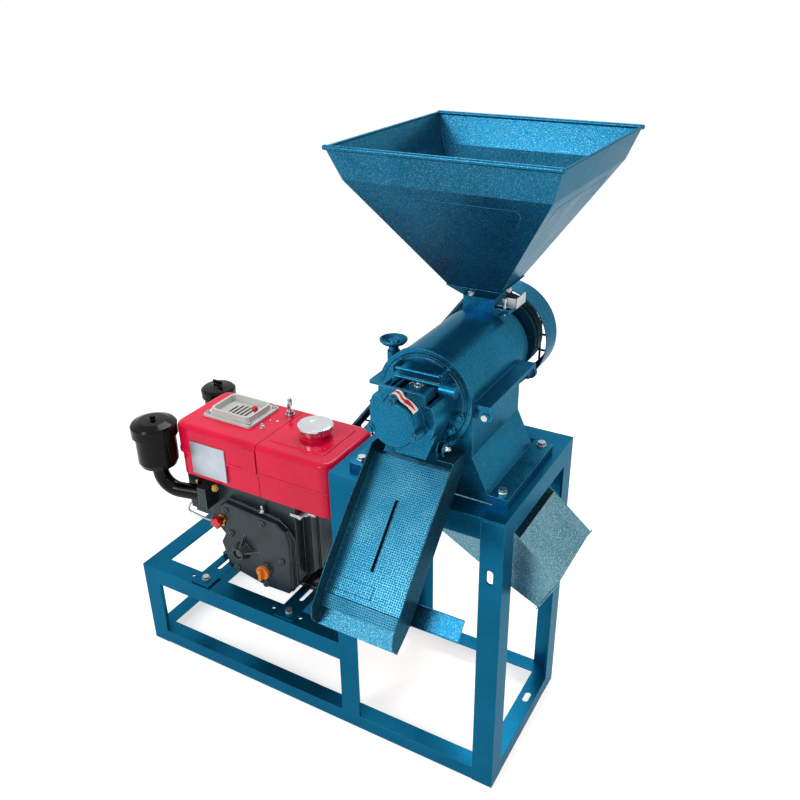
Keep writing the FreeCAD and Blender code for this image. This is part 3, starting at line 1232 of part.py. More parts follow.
def broken_rice_trough():
    """Small side trough below the tray that leads the broken grain out to the right."""
    t = TRAY_SHEET
    x0, x1 = TRAY_LEFT, -20.0
    deep = TRAY_DEEP
    low = -42.0
    floor = tray_sheet(x0, x1, [(262, low), (306, low), (306, low + t), (262, low + t)])
    back = tray_sheet(x0, x1, [(262, low), (262, -deep), (262 + t, -deep), (262 + t, low)])
    front = tray_sheet(x0, x1, [(306 - t, low), (306, low), (306, low + 12), (306 - t, low + 12)])
    end = tray_sheet(x0, x0 + t, [(262, low), (306, low), (306, -deep), (262, -deep)])
    trough = joined([floor, back, front, end])
    wedge = Part.makePolygon([V(TRAY_RIGHT, *tray_point(255, -deep + 2)), V(x1 + 1, *tray_point(255, low + 3)),
                              V(x1 + 1, *tray_point(255, -deep + 2)), V(TRAY_RIGHT, *tray_point(255, -deep + 2))])
    lean = V(0, *tray_point(1, 0)) - V(0, *tray_point(0, 0))
    return trough.cut(Part.Face(wedge).extrude(lean * 14.0))


def bran_duct():
    """Sloping chute under the chamber, open above, with a roof outside the frame and a lipped mouth."""
    t = TRAY_SHEET
    y0, y1 = BRAN_FRONT, BRAN_REAR
    low = [(-338, 686), (-97, 548), (44, 479)]
    mouth_top = (86, 559)
    side = low + [mouth_top, (-4, 636), (-54, 676), (-54, HULLER_DECK), (-338, HULLER_DECK)]
    cheeks = [profile_y(side, y0, y0 + t), profile_y(side, y1 - t, y1)]
    floor = profile_y(low + [(44.6, 480.7), (-96.3, 549.6), (-338, 687.8)], y0, y1)
    roof = profile_y([mouth_top, (-4, 636), (-5, 634.6), (84.8, 557.6)], y0, y1)
    back = box(-338, -338 + t, y0, y1, 686, HULLER_DECK)
    hangers = [box(x0, x1, y0, y1, HULLER_DECK - t, HULLER_DECK) for x0, x1 in ((-338, -326), (-60, -54))]
    brim = [low[-1], mouth_top, (mouth_top[0] + 2, mouth_top[1] - 1), (low[-1][0] + 2, low[-1][1] - 1)]
    lips = [profile_y(brim, y0 - 8, y0 + t), profile_y(brim, y1 - t, y1 + 8)]
    return joined(cheeks + [floor, roof, back] + hangers + lips)


# Fasteners

def hex_head(x, y, z, height):
    corners = [V(x + BOLT_HEAD_R * math.cos(math.radians(60 * k)), y + BOLT_HEAD_R * math.sin(math.radians(60 * k)), z)
               for k in range(7)]
    return Part.Face(Part.makePolygon(corners)).extrude(V(0, 0, height))


def upright_bolt(x, y, top, bottom):
    """Bolt down through two plates: washer and head on top, nut below."""
    parts = [rod_z(top, top + WASHER, x, y, WASHER_R), hex_head(x, y, top + WASHER, BOLT_HEAD),
             rod_z(bottom - NUT - 4, top + WASHER, x, y, BOLT_R), hex_head(x, y, bottom - NUT, NUT)]
    return joined(parts)


def machine_bolts():
    bolts = []
    for x, y in BASE_BOLTS:
        bolts.append(upright_bolt(x, y, HULLER_DECK + BASE_FOOT, HULLER_DECK - ANGLE_WALL))
    for x in MOUNT_RAIL_X:
        for y in (RAIL_BOLT_INSET, FRAME_DEPTH - RAIL_BOLT_INSET):
            bolts.append(upright_bolt(x, y, mount_rail_top(), ENGINE_DECK - ANGLE_WALL))
    for x, y in foot_places():
        bolts.append(upright_bolt(x, y, mount_rail_top() + FOOT_TOP_RISE, ENGINE_DECK))
    return Part.makeCompound(bolts)


def build():
    parts = legs()
    parts["base_rails"] = base_rails(parts)
    makers = [engine_deck_rails, huller_deck_rails, engine_mount_rails, huller_base, hinge_pins, milling_cover,
              clamp_handwheel, end_plate, bearing_housing, bearing_cap, shaft_bearings, rear_bearing_housing,
              outlet_gate, rotor, huller_shaft, rice_screen, rice_knife, feed_box, feed_gate, gate_lock_screw, hopper,
              drive_belts, belt_guard, guard_mesh, crankcase, gear_cover, start_shaft, oil_filler_cap, water_hopper,
              fuel_tank, tank_cap, float_grille, water_float, lifting_eye, cylinder_head, exhaust_elbow, muffler,
              intake_elbow, air_cleaner, fuel_tap, fuel_tap_lever, drain_cock, drain_knob, injection_pipe, crankshaft,
              flywheel, rice_tray, tray_screen, broken_rice_trough, bran_duct, machine_bolts]
    for maker in makers:
        parts[maker.__name__] = maker()
    parts["huller_pulley"] = grooved_pulley(SHAFT_X, SHAFT_Z, HULLER_PULLEY_R, SHAFT_R)
    parts["engine_pulley"] = grooved_pulley(CRANK_X, CRANK_Z, ENGINE_PULLEY_R, CRANK_R)
    return parts


os.makedirs("parts", exist_ok=True)
for name, shape in build().items():
    placed = shape.copy()
    placed.translate(V(NEAR_CORNER_X, NEAR_CORNER_Y, 0))
    placed.exportStep("parts/%s.step" % name)
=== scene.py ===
import bpy
import bmesh
import json
import math
from mathutils import Matrix, Vector


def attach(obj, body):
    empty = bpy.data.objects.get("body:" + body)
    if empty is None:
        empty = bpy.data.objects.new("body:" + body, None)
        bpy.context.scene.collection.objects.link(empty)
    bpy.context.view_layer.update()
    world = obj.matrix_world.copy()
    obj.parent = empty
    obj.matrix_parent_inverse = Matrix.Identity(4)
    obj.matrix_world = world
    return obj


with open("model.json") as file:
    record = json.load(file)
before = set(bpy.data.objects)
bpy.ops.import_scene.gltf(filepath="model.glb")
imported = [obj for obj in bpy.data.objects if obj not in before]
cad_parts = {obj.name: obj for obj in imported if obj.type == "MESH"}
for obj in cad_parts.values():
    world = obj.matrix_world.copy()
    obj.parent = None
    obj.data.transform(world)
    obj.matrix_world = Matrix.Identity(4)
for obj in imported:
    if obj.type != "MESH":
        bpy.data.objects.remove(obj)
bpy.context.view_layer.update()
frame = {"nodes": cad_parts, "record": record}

# Places and sizes are in millimetres, from the outer corner of the near right leg as in the part's source.
CORNER = Vector((471.0, -158.8, 0.0))


# Camera, fitted to the frame's straight edges

PHOTO_PX = 800.0
FOCAL_PX = 848.6
SENSOR = 36.0
CAMERA_AT = Vector((490.6, -1242.9, 1672.5))
TURN, TILT, ROLL = 29.95, 27.03, -0.83
FAR_CLIP = 50.0


def camera():
    az, el, roll = (math.radians(angle) for angle in (TURN, TILT, ROLL))
    back = Vector((math.sin(az) * math.cos(el), -math.cos(az) * math.cos(el), math.sin(el)))
    right = Vector((math.cos(az), math.sin(az), 0.0))
    up = back.cross(right)
    rolled = right * math.cos(roll) + up * math.sin(roll)
    upright = up * math.cos(roll) - right * math.sin(roll)
    data = bpy.data.cameras.new("photo_camera")
    data.sensor_width = SENSOR
    data.lens = SENSOR * FOCAL_PX / PHOTO_PX
    data.clip_end = FAR_CLIP
    cam = bpy.data.objects.new("photo_camera", data)
    bpy.context.collection.objects.link(cam)
    turn = Matrix((rolled, upright, back)).transposed().to_4x4()
    cam.matrix_world = Matrix.Translation((CAMERA_AT + CORNER) / 1000.0) @ turn
    bpy.context.scene.camera = cam


# Finishes

def linear(hex_colour):
    """sRGB hex to linear RGBA."""
    parts = [int(hex_colour[i:i + 2], 16) / 255.0 for i in (1, 3, 5)]
    return [c / 12.92 if c <= 0.04045 else ((c + 0.055) / 1.055) ** 2.4 for c in parts] + [1.0]


def per_metre(millimetres):
    """Pattern scale for a feature of this real size."""
    return 1000.0 / millimetres


def node(tree, kind, links=None, stops=(), **settings):
    """Adds a node; links maps its inputs to output sockets or plain values, stops colours its ramp."""
    made = tree.nodes.new(kind)
    for key, value in settings.items():
        setattr(made, key, value)
    for key, value in (links or {}).items():
        socket = made.inputs[key]
        if isinstance(value, bpy.types.NodeSocket):
            tree.links.new(value, socket)
        else:
            socket.default_value = value
    for element, (place, colour) in zip(made.color_ramp.elements if stops else (), stops):
        element.position = place
        element.color = linear(colour)
    return made


def finish(name, roughness, metallic=0.0, ior=1.5, sheen="#FFFFFF"):
    mat = bpy.data.materials.new(name)
    mat.use_nodes = True
    tree = mat.node_tree
    shader = tree.nodes["Principled BSDF"]
    shader.inputs["Roughness"].default_value = roughness
    shader.inputs["Metallic"].default_value = metallic
    shader.inputs["IOR"].default_value = ior
    shader.inputs["Specular Tint"].default_value = linear(sheen)
    return mat, tree, shader


def plug_in(tree, shader, **outputs):
    """Links outputs to the shader's sockets of the same names, written in small letters."""
    for name, output in outputs.items():
        tree.links.new(output, shader.inputs[name.replace("_", " ").title()])


# Cosines of how far an edge turns the rounded normal: where the painted edge highlight starts, and where
# it is full.
HIGHLIGHT_START, HIGHLIGHT_FULL = 0.99, 0.85


def rounded_edges_and_highlight(tree, radius, amount):
    """Normal that rounds sharp edges to a radius in mm, and a factor that is highest on those edges."""
    # The factor paints a highlight in a paler colour onto sharp edges.
    rounded = node(tree, "ShaderNodeBevel", {"Radius": radius / 1000.0}, samples=4).outputs["Normal"]
    plain = node(tree, "ShaderNodeNewGeometry").outputs["Normal"]
    turned = node(tree, "ShaderNodeVectorMath", {0: rounded, 1: plain}, operation="DOT_PRODUCT")
    edge_highlight = node(tree, "ShaderNodeMapRange", {"Value": turned.outputs["Value"], "From Min": HIGHLIGHT_START,
                                             "From Max": HIGHLIGHT_FULL, "To Min": 0.0, "To Max": amount})
    return rounded, edge_highlight.outputs["Result"]


# Enamel full of flake: partly metallic, with a bluish sheen and hardly any white reflection of its own.
FLAKE_ROUGHNESS, FLAKE, FLAKE_IOR, FLAKE_SHEEN = 0.3, 0.74, 1.22, "#A9C6D2"
# Size in mm of the patches of thicker and thinner paint, and the roughness from one to the other.
PAINT_CLOUD = 110.0
FLAKE_GLOSS = (0.24, 0.34)


# edge sets a painted highlight on sharp edges, in the colour light, which also colours the flecks.
def hammer_enamel(name, deep, body, light, dimple=3.5, round_off=1.2, strength=0.2, fleck=0.26, edge=0.3):
    """Hammer-finish enamel, sprayed or brushed on.

    Aluminium flake floats in blue-green enamel and pools into small shiny dimples, so the colour drifts at
    random between deep teals with pale flecks, and sharp edges get a painted highlight in the pale colour.
    """
    mat, tree, shader = finish(name, FLAKE_ROUGHNESS, FLAKE, FLAKE_IOR, FLAKE_SHEEN)
    place = node(tree, "ShaderNodeTexCoord").outputs["Object"]
    cells = node(tree, "ShaderNodeTexVoronoi", {"Vector": place, "Scale": per_metre(dimple)},
                 feature="SMOOTH_F1").outputs["Distance"]
    clouds = node(tree, "ShaderNodeTexNoise", {"Vector": place, "Scale": per_metre(PAINT_CLOUD),
                                               "Detail": 3.0}).outputs["Fac"]
    grain = node(tree, "ShaderNodeTexNoise", {"Vector": place, "Scale": per_metre(dimple * 0.7),
                                              "Detail": 1.0}).outputs["Fac"]
    shade = node(tree, "ShaderNodeValToRGB", {"Fac": clouds}, [(0.3, deep), (0.7, body)])
    flecks = node(tree, "ShaderNodeMapRange", {"Value": grain, "From Min": 0.52, "From Max": 0.74,
                                               "To Min": 0.0, "To Max": fleck})
    rounded, edge_highlight = rounded_edges_and_highlight(tree, round_off, edge)
    # Flecks of flake and a painted highlight on sharp edges both take the pale colour.
    flecks_and_highlight = node(tree, "ShaderNodeMath", {0: flecks.outputs["Result"], 1: edge_highlight}, operation="MAXIMUM")
    colour = node(tree, "ShaderNodeMix", {"Factor": flecks_and_highlight.outputs["Value"], "A": shade.outputs["Color"],
                                          "B": linear(light)}, data_type="RGBA")
    gloss = node(tree, "ShaderNodeMapRange", {"Value": clouds, "From Min": 0.3, "From Max": 0.7,
                                              "To Min": FLAKE_GLOSS[0], "To Max": FLAKE_GLOSS[1]})
    bump = node(tree, "ShaderNodeBump", {"Height": cells, "Strength": strength, "Distance": 0.0008,
                                         "Normal": rounded}, invert=True)
    plug_in(tree, shader, base_color=colour.outputs["Result"], roughness=gloss.outputs["Result"],
            normal=bump.outputs["Normal"])
    return mat


def pierced_enamel(name, deep, body, light, pitch=4.7):
    """Blue enamel over perforated sheet: staggered rows of dark holes between pale webs.

    The pattern is turned by the tray's lean, so that its flat cells lie in the sheet.
    """
    mat, tree, shader = finish(name, 0.34, 0.7, 1.22, "#8FC0DA")
    place = node(tree, "ShaderNodeTexCoord").outputs["Object"]
    lean = (math.radians(-TRAY_LEAN), 0.0, 0.0)
    flat = node(tree, "ShaderNodeMapping", {"Vector": place, "Rotation": lean}).outputs["Vector"]
    rows = node(tree, "ShaderNodeTexVoronoi", {"Vector": flat, "Scale": per_metre(pitch),
                                               "Randomness": 0.25}, voronoi_dimensions="2D")
    clouds = node(tree, "ShaderNodeTexNoise", {"Vector": place, "Scale": per_metre(70.0), "Detail": 2.0})
    holes = node(tree, "ShaderNodeMapRange", {"Value": rows.outputs["Distance"], "From Min": 0.22,
                                              "From Max": 0.4, "To Min": 1.0, "To Max": 0.0})
    metal = node(tree, "ShaderNodeValToRGB", {"Fac": clouds.outputs["Fac"]}, [(0.3, body), (0.7, light)])
    colour = node(tree, "ShaderNodeMix", {"Factor": holes.outputs["Result"], "A": metal.outputs["Color"],
                                          "B": linear(deep)}, data_type="RGBA")
    bump = node(tree, "ShaderNodeBump", {"Height": holes.outputs["Result"], "Strength": 0.35,
                                         "Distance": 0.0008}, invert=True)
    plug_in(tree, shader, base_color=colour.outputs["Result"], normal=bump.outputs["Normal"])
    return mat


# edge sets a painted highlight on sharp edges, in the colour light.
def smooth_finish(name, body, deep, roughness, metallic=0.0, ior=1.5, grain=6.0, strength=0.06,
                  round_off=2.0, spread=0.06, cloud=60.0, edge=0.0, light="#FFFFFF"):
    """Cloudy colour with a fine grain and rounded edges, shared by the smooth finishes.

    Tool marks and moulding grain are finer than this in life and are drawn 1 to 3 mm wide, as coarse as
    they need to be to show.
    """
    mat, tree, shader = finish(name, roughness, metallic, ior)
    place = node(tree, "ShaderNodeTexCoord").outputs["Object"]
    fine = node(tree, "ShaderNodeTexNoise", {"Vector": place, "Scale": per_metre(grain),
                                             "Detail": 3.0}).outputs["Fac"]
    clouds = node(tree, "ShaderNodeTexNoise", {"Vector": place, "Scale": per_metre(cloud), "Detail": 3.0})
    shade = node(tree, "ShaderNodeValToRGB", {"Fac": clouds.outputs["Fac"]}, [(0.3, body), (0.7, deep)])
    gloss = node(tree, "ShaderNodeMapRange", {"Value": fine, "From Min": 0.3, "From Max": 0.7,
                                              "To Min": roughness - spread / 2,
                                              "To Max": roughness + spread / 2})
    # Painted highlight: sharp edges are mixed towards the colour light.
    rounded, edge_highlight = rounded_edges_and_highlight(tree, round_off, edge)
    colour = node(tree, "ShaderNodeMix", {"Factor": edge_highlight, "A": shade.outputs["Color"],
                                          "B": linear(light)}, data_type="RGBA")
    bump = node(tree, "ShaderNodeBump", {"Height": fine, "Strength": strength, "Distance": 0.0006,
                                         "Normal": rounded})
    plug_in(tree, shader, base_color=colour.outputs["Result"], roughness=gloss.outputs["Result"],
            normal=bump.outputs["Normal"])
    return mat


TRAY_LEAN = 46.0

MATERIALS = {
    # Thick sprayed coat on the castings: round shiny dimples, deep teal tone and a painted highlight on
    # sharp edges.
    "blue_paint": hammer_enamel("hammer_finish_enamel_blue", "#07587A", "#0B6B90", "#7FB0BC", edge=0.4),
    # Stoved on the engine's tanks: a wet gloss with broad soft highlights over clear red, and a painted
    # pink highlight on edges.
    "red_paint": smooth_finish("stoved_enamel_red", "#EA0A42", "#DA0A3A", 0.15, ior=1.3,
                               edge=0.25, light="#F27A92"),
    # Sprayed on sand castings: fine pits break the sheen, and a grey highlight is painted along round
    # edges.
    "grey_casting": smooth_finish("machine_paint_grey", "#303E42", "#252F32", 0.32, 0.5, 1.4, grain=2.6,
                                  strength=0.35, round_off=2.2, spread=0.16, edge=0.6, light="#8A979B"),
    # Stoved on muffler and air cleaner: black with small sharp lights, and a grey highlight painted on its
    # edges.
    "black_paint": smooth_finish("stoved_enamel_black", "#050607", "#030404", 0.11, ior=1.24,
                                 round_off=1.5, edge=0.3, light="#4A4D50"),
    # Dipped mesh: half-gloss black, rounded where the paint ran together.
    "black_mesh": smooth_finish("dipped_enamel_black", "#0E0F10", "#0A0A0B", 0.35, round_off=0.3),
    # Plated cap: mirrors the white ground, with hardly any marks.
    "chrome": smooth_finish("polished_chrome", "#DADDE0", "#CDD1D5", 0.07, 1.0, grain=3.0,
                            strength=0.02, round_off=0.5, spread=0.02),
    # Screws, pins, feed gate and pipe: silvery, slightly clouded.
    "zinc_steel": smooth_finish("bright_zinc_plating", "#BFC3C7", "#A2A6AB", 0.26, 1.0, grain=1.2,
                                round_off=0.4),
    # Ground shafts, rice screen and knife: bright with fine tool marks.
    "bare_steel": smooth_finish("ground_steel", "#BDBFC1", "#9FA2A5", 0.28, 1.0, grain=1.2, round_off=0.4),
    # Machined flywheel, pulley and roller: dull and darker, with open grain.
    "bare_iron": smooth_finish("machined_cast_iron", "#5E6062", "#494B4D", 0.42, 1.0, grain=2.0,
                               strength=0.2, round_off=0.4),
    # Chromated drain cock and unions: soft yellow gleam.
    "brass": smooth_finish("yellow_chromated_brass", "#C9A45C", "#A9823C", 0.3, 1.0, grain=1.2,
                           round_off=0.4),
    # Moulded belts: dead black with a faint dusty bloom.
    "belt_rubber": smooth_finish("belt_rubber", "#17181A", "#0F1011", 0.7, grain=1.5, strength=0.1,
                                 round_off=0.8),
    # Moulded grille frame: warm grey-white with a satin skin.
    "white_plastic": smooth_finish("grey_white_abs", "#CED1CB", "#C3C6C0", 0.36, grain=1.5,
                                   round_off=1.4, cloud=40.0),
    # Moulded float and star knob: clear red with a satin skin.
    "red_plastic": smooth_finish("red_moulded_plastic", "#D3121C", "#B90D17", 0.3, grain=1.5,
                                 round_off=0.8, cloud=40.0),
    # Moulded filler cap: flat orange.
    "orange_plastic": smooth_finish("orange_moulded_plastic", "#EF8A2B", "#E07A1E", 0.42, grain=1.5,
                                    round_off=0.8, cloud=40.0),
    # Die-cast fuel tap: pale grey and grainy.
    "aluminium": smooth_finish("cast_aluminium", "#B4B8BA", "#9A9EA1", 0.42, 1.0, grain=1.5,
                               strength=0.25, round_off=0.4),
}
# Vinyl film of the turning arrow: clean flat white and red.
ARROW_WHITE = smooth_finish("white_vinyl_film", "#EEF1F6", "#E6EAF0", 0.35, round_off=0.3)
ARROW_RED = smooth_finish("red_vinyl_film", "#CC1F2B", "#C41A26", 0.35, round_off=0.3)
# Rolled plate: satin silver that takes the tint of what is round it.
PLATE_SILVER = smooth_finish("satin_anodised_aluminium", "#B9C3CC", "#AAB4BE", 0.4, 1.0, grain=1.0,
                             round_off=0.4)
# Brushed on the angle iron: smooth, with long soft ripples, few flecks and a painted highlight on edges.
FRAME_ENAMEL = hammer_enamel("brushed_on_enamel_blue", "#07587A", "#0A6286", "#3A88A6", dimple=6.0,
                             round_off=1.6, strength=0.05, fleck=0.1, edge=0.35)
# Thin sprayed coat on sheet: small dimples, many pale flecks and a painted highlight on edges.
SHEET_ENAMEL = hammer_enamel("hammer_finish_enamel_sheet", "#0A5475", "#106689", "#8DBAC4", dimple=3.0,
                             round_off=0.8, strength=0.25, fleck=0.36)
# Sprayed on the rice tray: greyer, with more pale flecks and a painted highlight on edges.
TRAY_ENAMEL = hammer_enamel("hammer_finish_enamel_greyish", "#16485E", "#1D576E", "#7A9DA6", dimple=3.2,
                            round_off=0.8, strength=0.3, fleck=0.4)
# Sprayed on the bran chute: pale flecks nearly hide the blue as a painted silvery sheen; painted edge
# highlights.
CHUTE_ENAMEL = hammer_enamel("hammer_finish_enamel_painted_sheen", "#3B7C94", "#5A94A8", "#CCD0C6", dimple=3.6,
                             round_off=0.8, strength=0.3, fleck=0.9, edge=0.5)
# Sprayed over punched sheet: a field of small dark holes.
PIERCED_ENAMEL = pierced_enamel("pierced_sheet_enamel", "#0F4B6C", "#28728F", "#458BA6")

FRAME_NODES = ("front_right_leg", "rear_right_leg", "front_middle_leg", "rear_middle_leg",
               "front_left_leg", "rear_left_leg", "base_rails", "engine_deck_rails",
               "huller_deck_rails", "engine_mount_rails")
OWN_FINISH = {"hopper": SHEET_ENAMEL, "belt_guard": SHEET_ENAMEL, "broken_rice_trough": SHEET_ENAMEL,
              "rice_tray": TRAY_ENAMEL, "bran_duct": CHUTE_ENAMEL, "tray_screen": PIERCED_ENAMEL,
              "start_shaft": MATERIALS["bare_iron"]}
OWN_FINISH.update({name: FRAME_ENAMEL for name in FRAME_NODES})


def dress_nodes():
    """Gives each CAD piece its own finish, or else the one of its slot."""
    for entry in frame["record"]["subparts"]:
        piece = frame["nodes"][entry["node"]]
        piece.data.materials.clear()
        piece.data.materials.append(OWN_FINISH.get(entry["node"], MATERIALS[entry["material_slot"]]))


# Shapes that the small pieces share

BODY = "machine"
FRONT, UP, RIGHT, LEFT = (0, -1, 0), (0, 0, 1), (1, 0, 0), (-1, 0, 0)


def seat(place, direction):
    """Puts local Z along a direction at a place."""
    turn = Vector((0.0, 0.0, 1.0)).rotation_difference(Vector(direction))
    return Matrix.Translation(Vector(place)) @ turn.to_matrix().to_4x4()


def keep(name, mesh, slot_name, material=None, sharp=35.0):
    """Closes a finished mesh, moves it into the machine's frame and hangs it on the machine."""
    bmesh.ops.remove_doubles(mesh, verts=mesh.verts, dist=0.005)
    bmesh.ops.recalc_face_normals(mesh, faces=mesh.faces)
    for face in mesh.faces:
        face.smooth = True
    for edge in mesh.edges:
        edge.smooth = edge.calc_face_angle(0.0) < math.radians(sharp)
    to_frame = Matrix.Scale(0.001, 4) @ Matrix.Translation(CORNER)
    bmesh.ops.transform(mesh, matrix=to_frame, verts=mesh.verts)
    data = bpy.data.meshes.new(name)
    mesh.to_mesh(data)
    mesh.free()
    piece = bpy.data.objects.new(name, data)
    bpy.context.collection.objects.link(piece)
    data.materials.append(material or MATERIALS[slot_name])
    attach(piece, BODY)


def break_edges(mesh, edges, offset):
    """Rounds edges off, in two steps."""
    bmesh.ops.bevel(mesh, geom=edges, offset=offset, offset_type="OFFSET", affect="EDGES", segments=2,
                    profile=0.5, material=-1)


def lathe(mesh, matrix, outline, steps=24):
    """Spins a (radius, height) outline about the local Z of the matrix."""
    verts = [mesh.verts.new(matrix @ Vector((r, 0.0, h))) for r, h in outline]
    edges = [mesh.edges.new(pair) for pair in zip(verts, verts[1:])]
    axis = matrix.to_3x3() @ Vector((0.0, 0.0, 1.0))
    bmesh.ops.spin(mesh, geom=verts + edges, cent=matrix.translation, axis=axis, angle=math.tau,
                   steps=steps, use_merge=True)


# Chamfer on a hexagon's upper corners, as a share of its radius.
CHAMFER = 0.12


def hexagon(mesh, matrix, radius, low, high, turn=0.0):
    """Six-sided head or nut with its upper corners chamfered."""
    middle = Matrix.Translation((0.0, 0.0, (low + high) / 2))
    centre = matrix @ middle @ Matrix.Rotation(math.radians(turn), 4, "Z")
    made = bmesh.ops.create_cone(mesh, cap_ends=True, segments=6, radius1=radius, radius2=radius,
                                 depth=high - low, matrix=centre)
    top = matrix @ Vector((0.0, 0.0, high))
    up = matrix.to_3x3() @ Vector((0.0, 0.0, 1.0))
    rim = [v for v in made["verts"] if abs((v.co - top).dot(up)) < 0.01]
    rim_edges = [e for e in mesh.edges if e.verts[0] in rim and e.verts[1] in rim]
    break_edges(mesh, rim_edges, radius * CHAMFER)


def block(mesh, low, high, edge, matrix=None):
    """Rectangular block with broken edges."""
    middle = (Vector(low) + Vector(high)) / 2
    size = Vector(high) - Vector(low)
    place = (matrix or Matrix()) @ Matrix.Translation(middle) @ Matrix.Diagonal((*size, 1.0))
    made = bmesh.ops.create_cube(mesh, size=1.0, matrix=place)
    break_edges(mesh, list({e for v in made["verts"] for e in v.link_edges}), edge)


def hex_screw(mesh, place, direction, radius, height, shank=0.0, turn=0.0):
    """Hexagon head on a washer; a shank is the thread's end that stands out of a nut."""
    matrix = seat(place, direction)
    washer_r, washer_top = radius * 1.22, 1.8
    lathe(mesh, matrix, [(0, 0), (washer_r, 0), (washer_r, 1.2), (radius * 1.14, washer_top),
                         (0, washer_top)])
    hexagon(mesh, matrix, radius, washer_top, washer_top + height, turn)
    if shank:
        r = radius * 0.48
        top = washer_top + height + shank
        outline = [(0, washer_top), (r, washer_top), (r, top - 1), (r - 0.8, top), (0, top)]
        lathe(mesh, matrix, outline, 16)


def pan_screw(mesh, place, direction, radius, height):
    """Low round head with a hollow for the driver."""
    outline = [(0, 0), (radius, 0), (radius, height * 0.4), (radius * 0.82, height * 0.85),
               (radius * 0.45, height), (radius * 0.3, height), (radius * 0.22, height * 0.45),
               (0, height * 0.4)]
    lathe(mesh, seat(place, direction), outline, 20)


def line_bar(name, points, radius, material, closed=True):
    """Round bar or pressed line along given corners."""
    curve = bpy.data.curves.new(name + "_line", "CURVE")
    curve.dimensions = "3D"
    curve.bevel_depth = radius
    curve.bevel_resolution = 3
    curve.use_fill_caps = True
    spline = curve.splines.new("POLY")
    spline.points.add(len(points) - 1)
    for point, place in zip(spline.points, points):
        point.co = (*place, 1.0)
    spline.use_cyclic_u = closed
    source = bpy.data.objects.new(name + "_line", curve)
    mesh = bmesh.new()
    data = bpy.data.meshes.new_from_object(source)
    mesh.from_mesh(data)
    bpy.data.objects.remove(source)
    bpy.data.meshes.remove(data)
    bpy.data.curves.remove(curve)
    keep(name, mesh, "blue_paint", material, 60.0)


# Bearing cap, end plate and outlet drum

# Head radius and height of the screws.
CAP_BOLT, END_PLATE_BOLT = (7.2, 5.6), (8.6, 6.6)
CLIP_SCREW, COLLAR_SCREW, HINGE_HEAD = (6.5, 5.0), (6.5, 4.6), (6.4, 4.6)
# Shaft line and hinge line as (x, z), the clip's pin as (y, z).
SHAFT = (-195.0, 935.0)
CAP_FACE = -86.0
CAP_RING = 48.0
CAP_ANGLES = (92.0, 200.0, 342.0)
LUG_R = 9.0
BOSS_R = 45.5
END_PLATE_FACE = 36.0
END_PLATE_RING = 80.0
END_PLATE_ANGLES = (-15.0, -42.0, 222.0, 195.0)
BAND_MIDDLE = -63.0
BAND_WIDTH = 19.0
BAND_HOLLOW = 12.0
BAND_START, BAND_END = 172.0, 34.0
BAND_THICK, STRIPE_THICK = 0.5, 0.4
BAND_LIFT, STRIPE_LIFT = 0.5, 1.0
STRIPE_WIDTH = 5.4
ARROW_WIDTH = 13.0
ARROW_STEPS = 7
LID_NUT = (-194, 16, 970)
CLIP_PLATES = (-150, -137)
CLIP_PLATE = 4
CLIP_PIN = (14, 852)
COLLAR_SCREWS = (((0, -0.7, -0.71), (-207, 270.5, 1072)), ((0.7, 0, -0.71), (-148.2, 322, 1072)),
                 ((-0.7, 0, -0.71), (-247.8, 318, 1072)), ((0, 0.7, -0.71), (-190, 369.5, 1072)))
HINGE_PINS = ((54.0, -1), (285.0, 1))
HINGE_LINE = (-72, 917)


def arc(centre, radius, first, last, steps):
    """Points (x, z) on a circle from one angle to another, in degrees."""
    angles = [math.radians(first + (last - first) * k / steps) for k in range(steps + 1)]
    return [(centre[0] + radius * math.cos(a), centre[1] + radius * math.sin(a)) for a in angles]


def on_ring(radius, angle):
    a = math.radians(angle)
    return (SHAFT[0] + radius * math.cos(a), SHAFT[1] + radius * math.sin(a))


def front_bolts():
    """Bolts of the bearing cap's lugs and of the end plate, each head at its own angle."""
    mesh = bmesh.new()
    for k, angle in enumerate(CAP_ANGLES):
        x, z = on_ring(CAP_RING, angle)
        hex_screw(mesh, (x, CAP_FACE, z), FRONT, *CAP_BOLT, turn=13.0 * k)
    keep("cap_bolts", mesh, "blue_paint")
    mesh = bmesh.new()
    for k, angle in enumerate(END_PLATE_ANGLES):
        x, z = on_ring(END_PLATE_RING, angle)
        hex_screw(mesh, (x, END_PLATE_FACE, z), FRONT, *END_PLATE_BOLT, turn=17.0 * k)
    keep("end_plate_bolts", mesh, "blue_paint")


def band_path(lift):
    """Over the cap's top lug, through the hollow beside it and down along the boss."""
    lug = on_ring(CAP_RING, CAP_ANGLES[0])
    lug_r, boss_r, hollow_r = LUG_R + 0.4 + lift, BOSS_R + 0.6 + lift, BAND_HOLLOW - lift
    out = boss_r + hollow_r
    away = (CAP_RING ** 2 + out ** 2 - (lug_r + hollow_r) ** 2) / (2 * CAP_RING * out)
    hollow_angle = CAP_ANGLES[0] - math.degrees(math.acos(away))
    hollow = on_ring(out, hollow_angle)
    turn = math.degrees(math.atan2(hollow[1] - lug[1], hollow[0] - lug[0]))
    path = arc(lug, lug_r, BAND_START, turn, 14)
    path += arc(hollow, hollow_r, turn + 180.0, hollow_angle + 180.0, 8)[1:]
    return path + arc(SHAFT, boss_r, hollow_angle, BAND_END, 8)[1:]


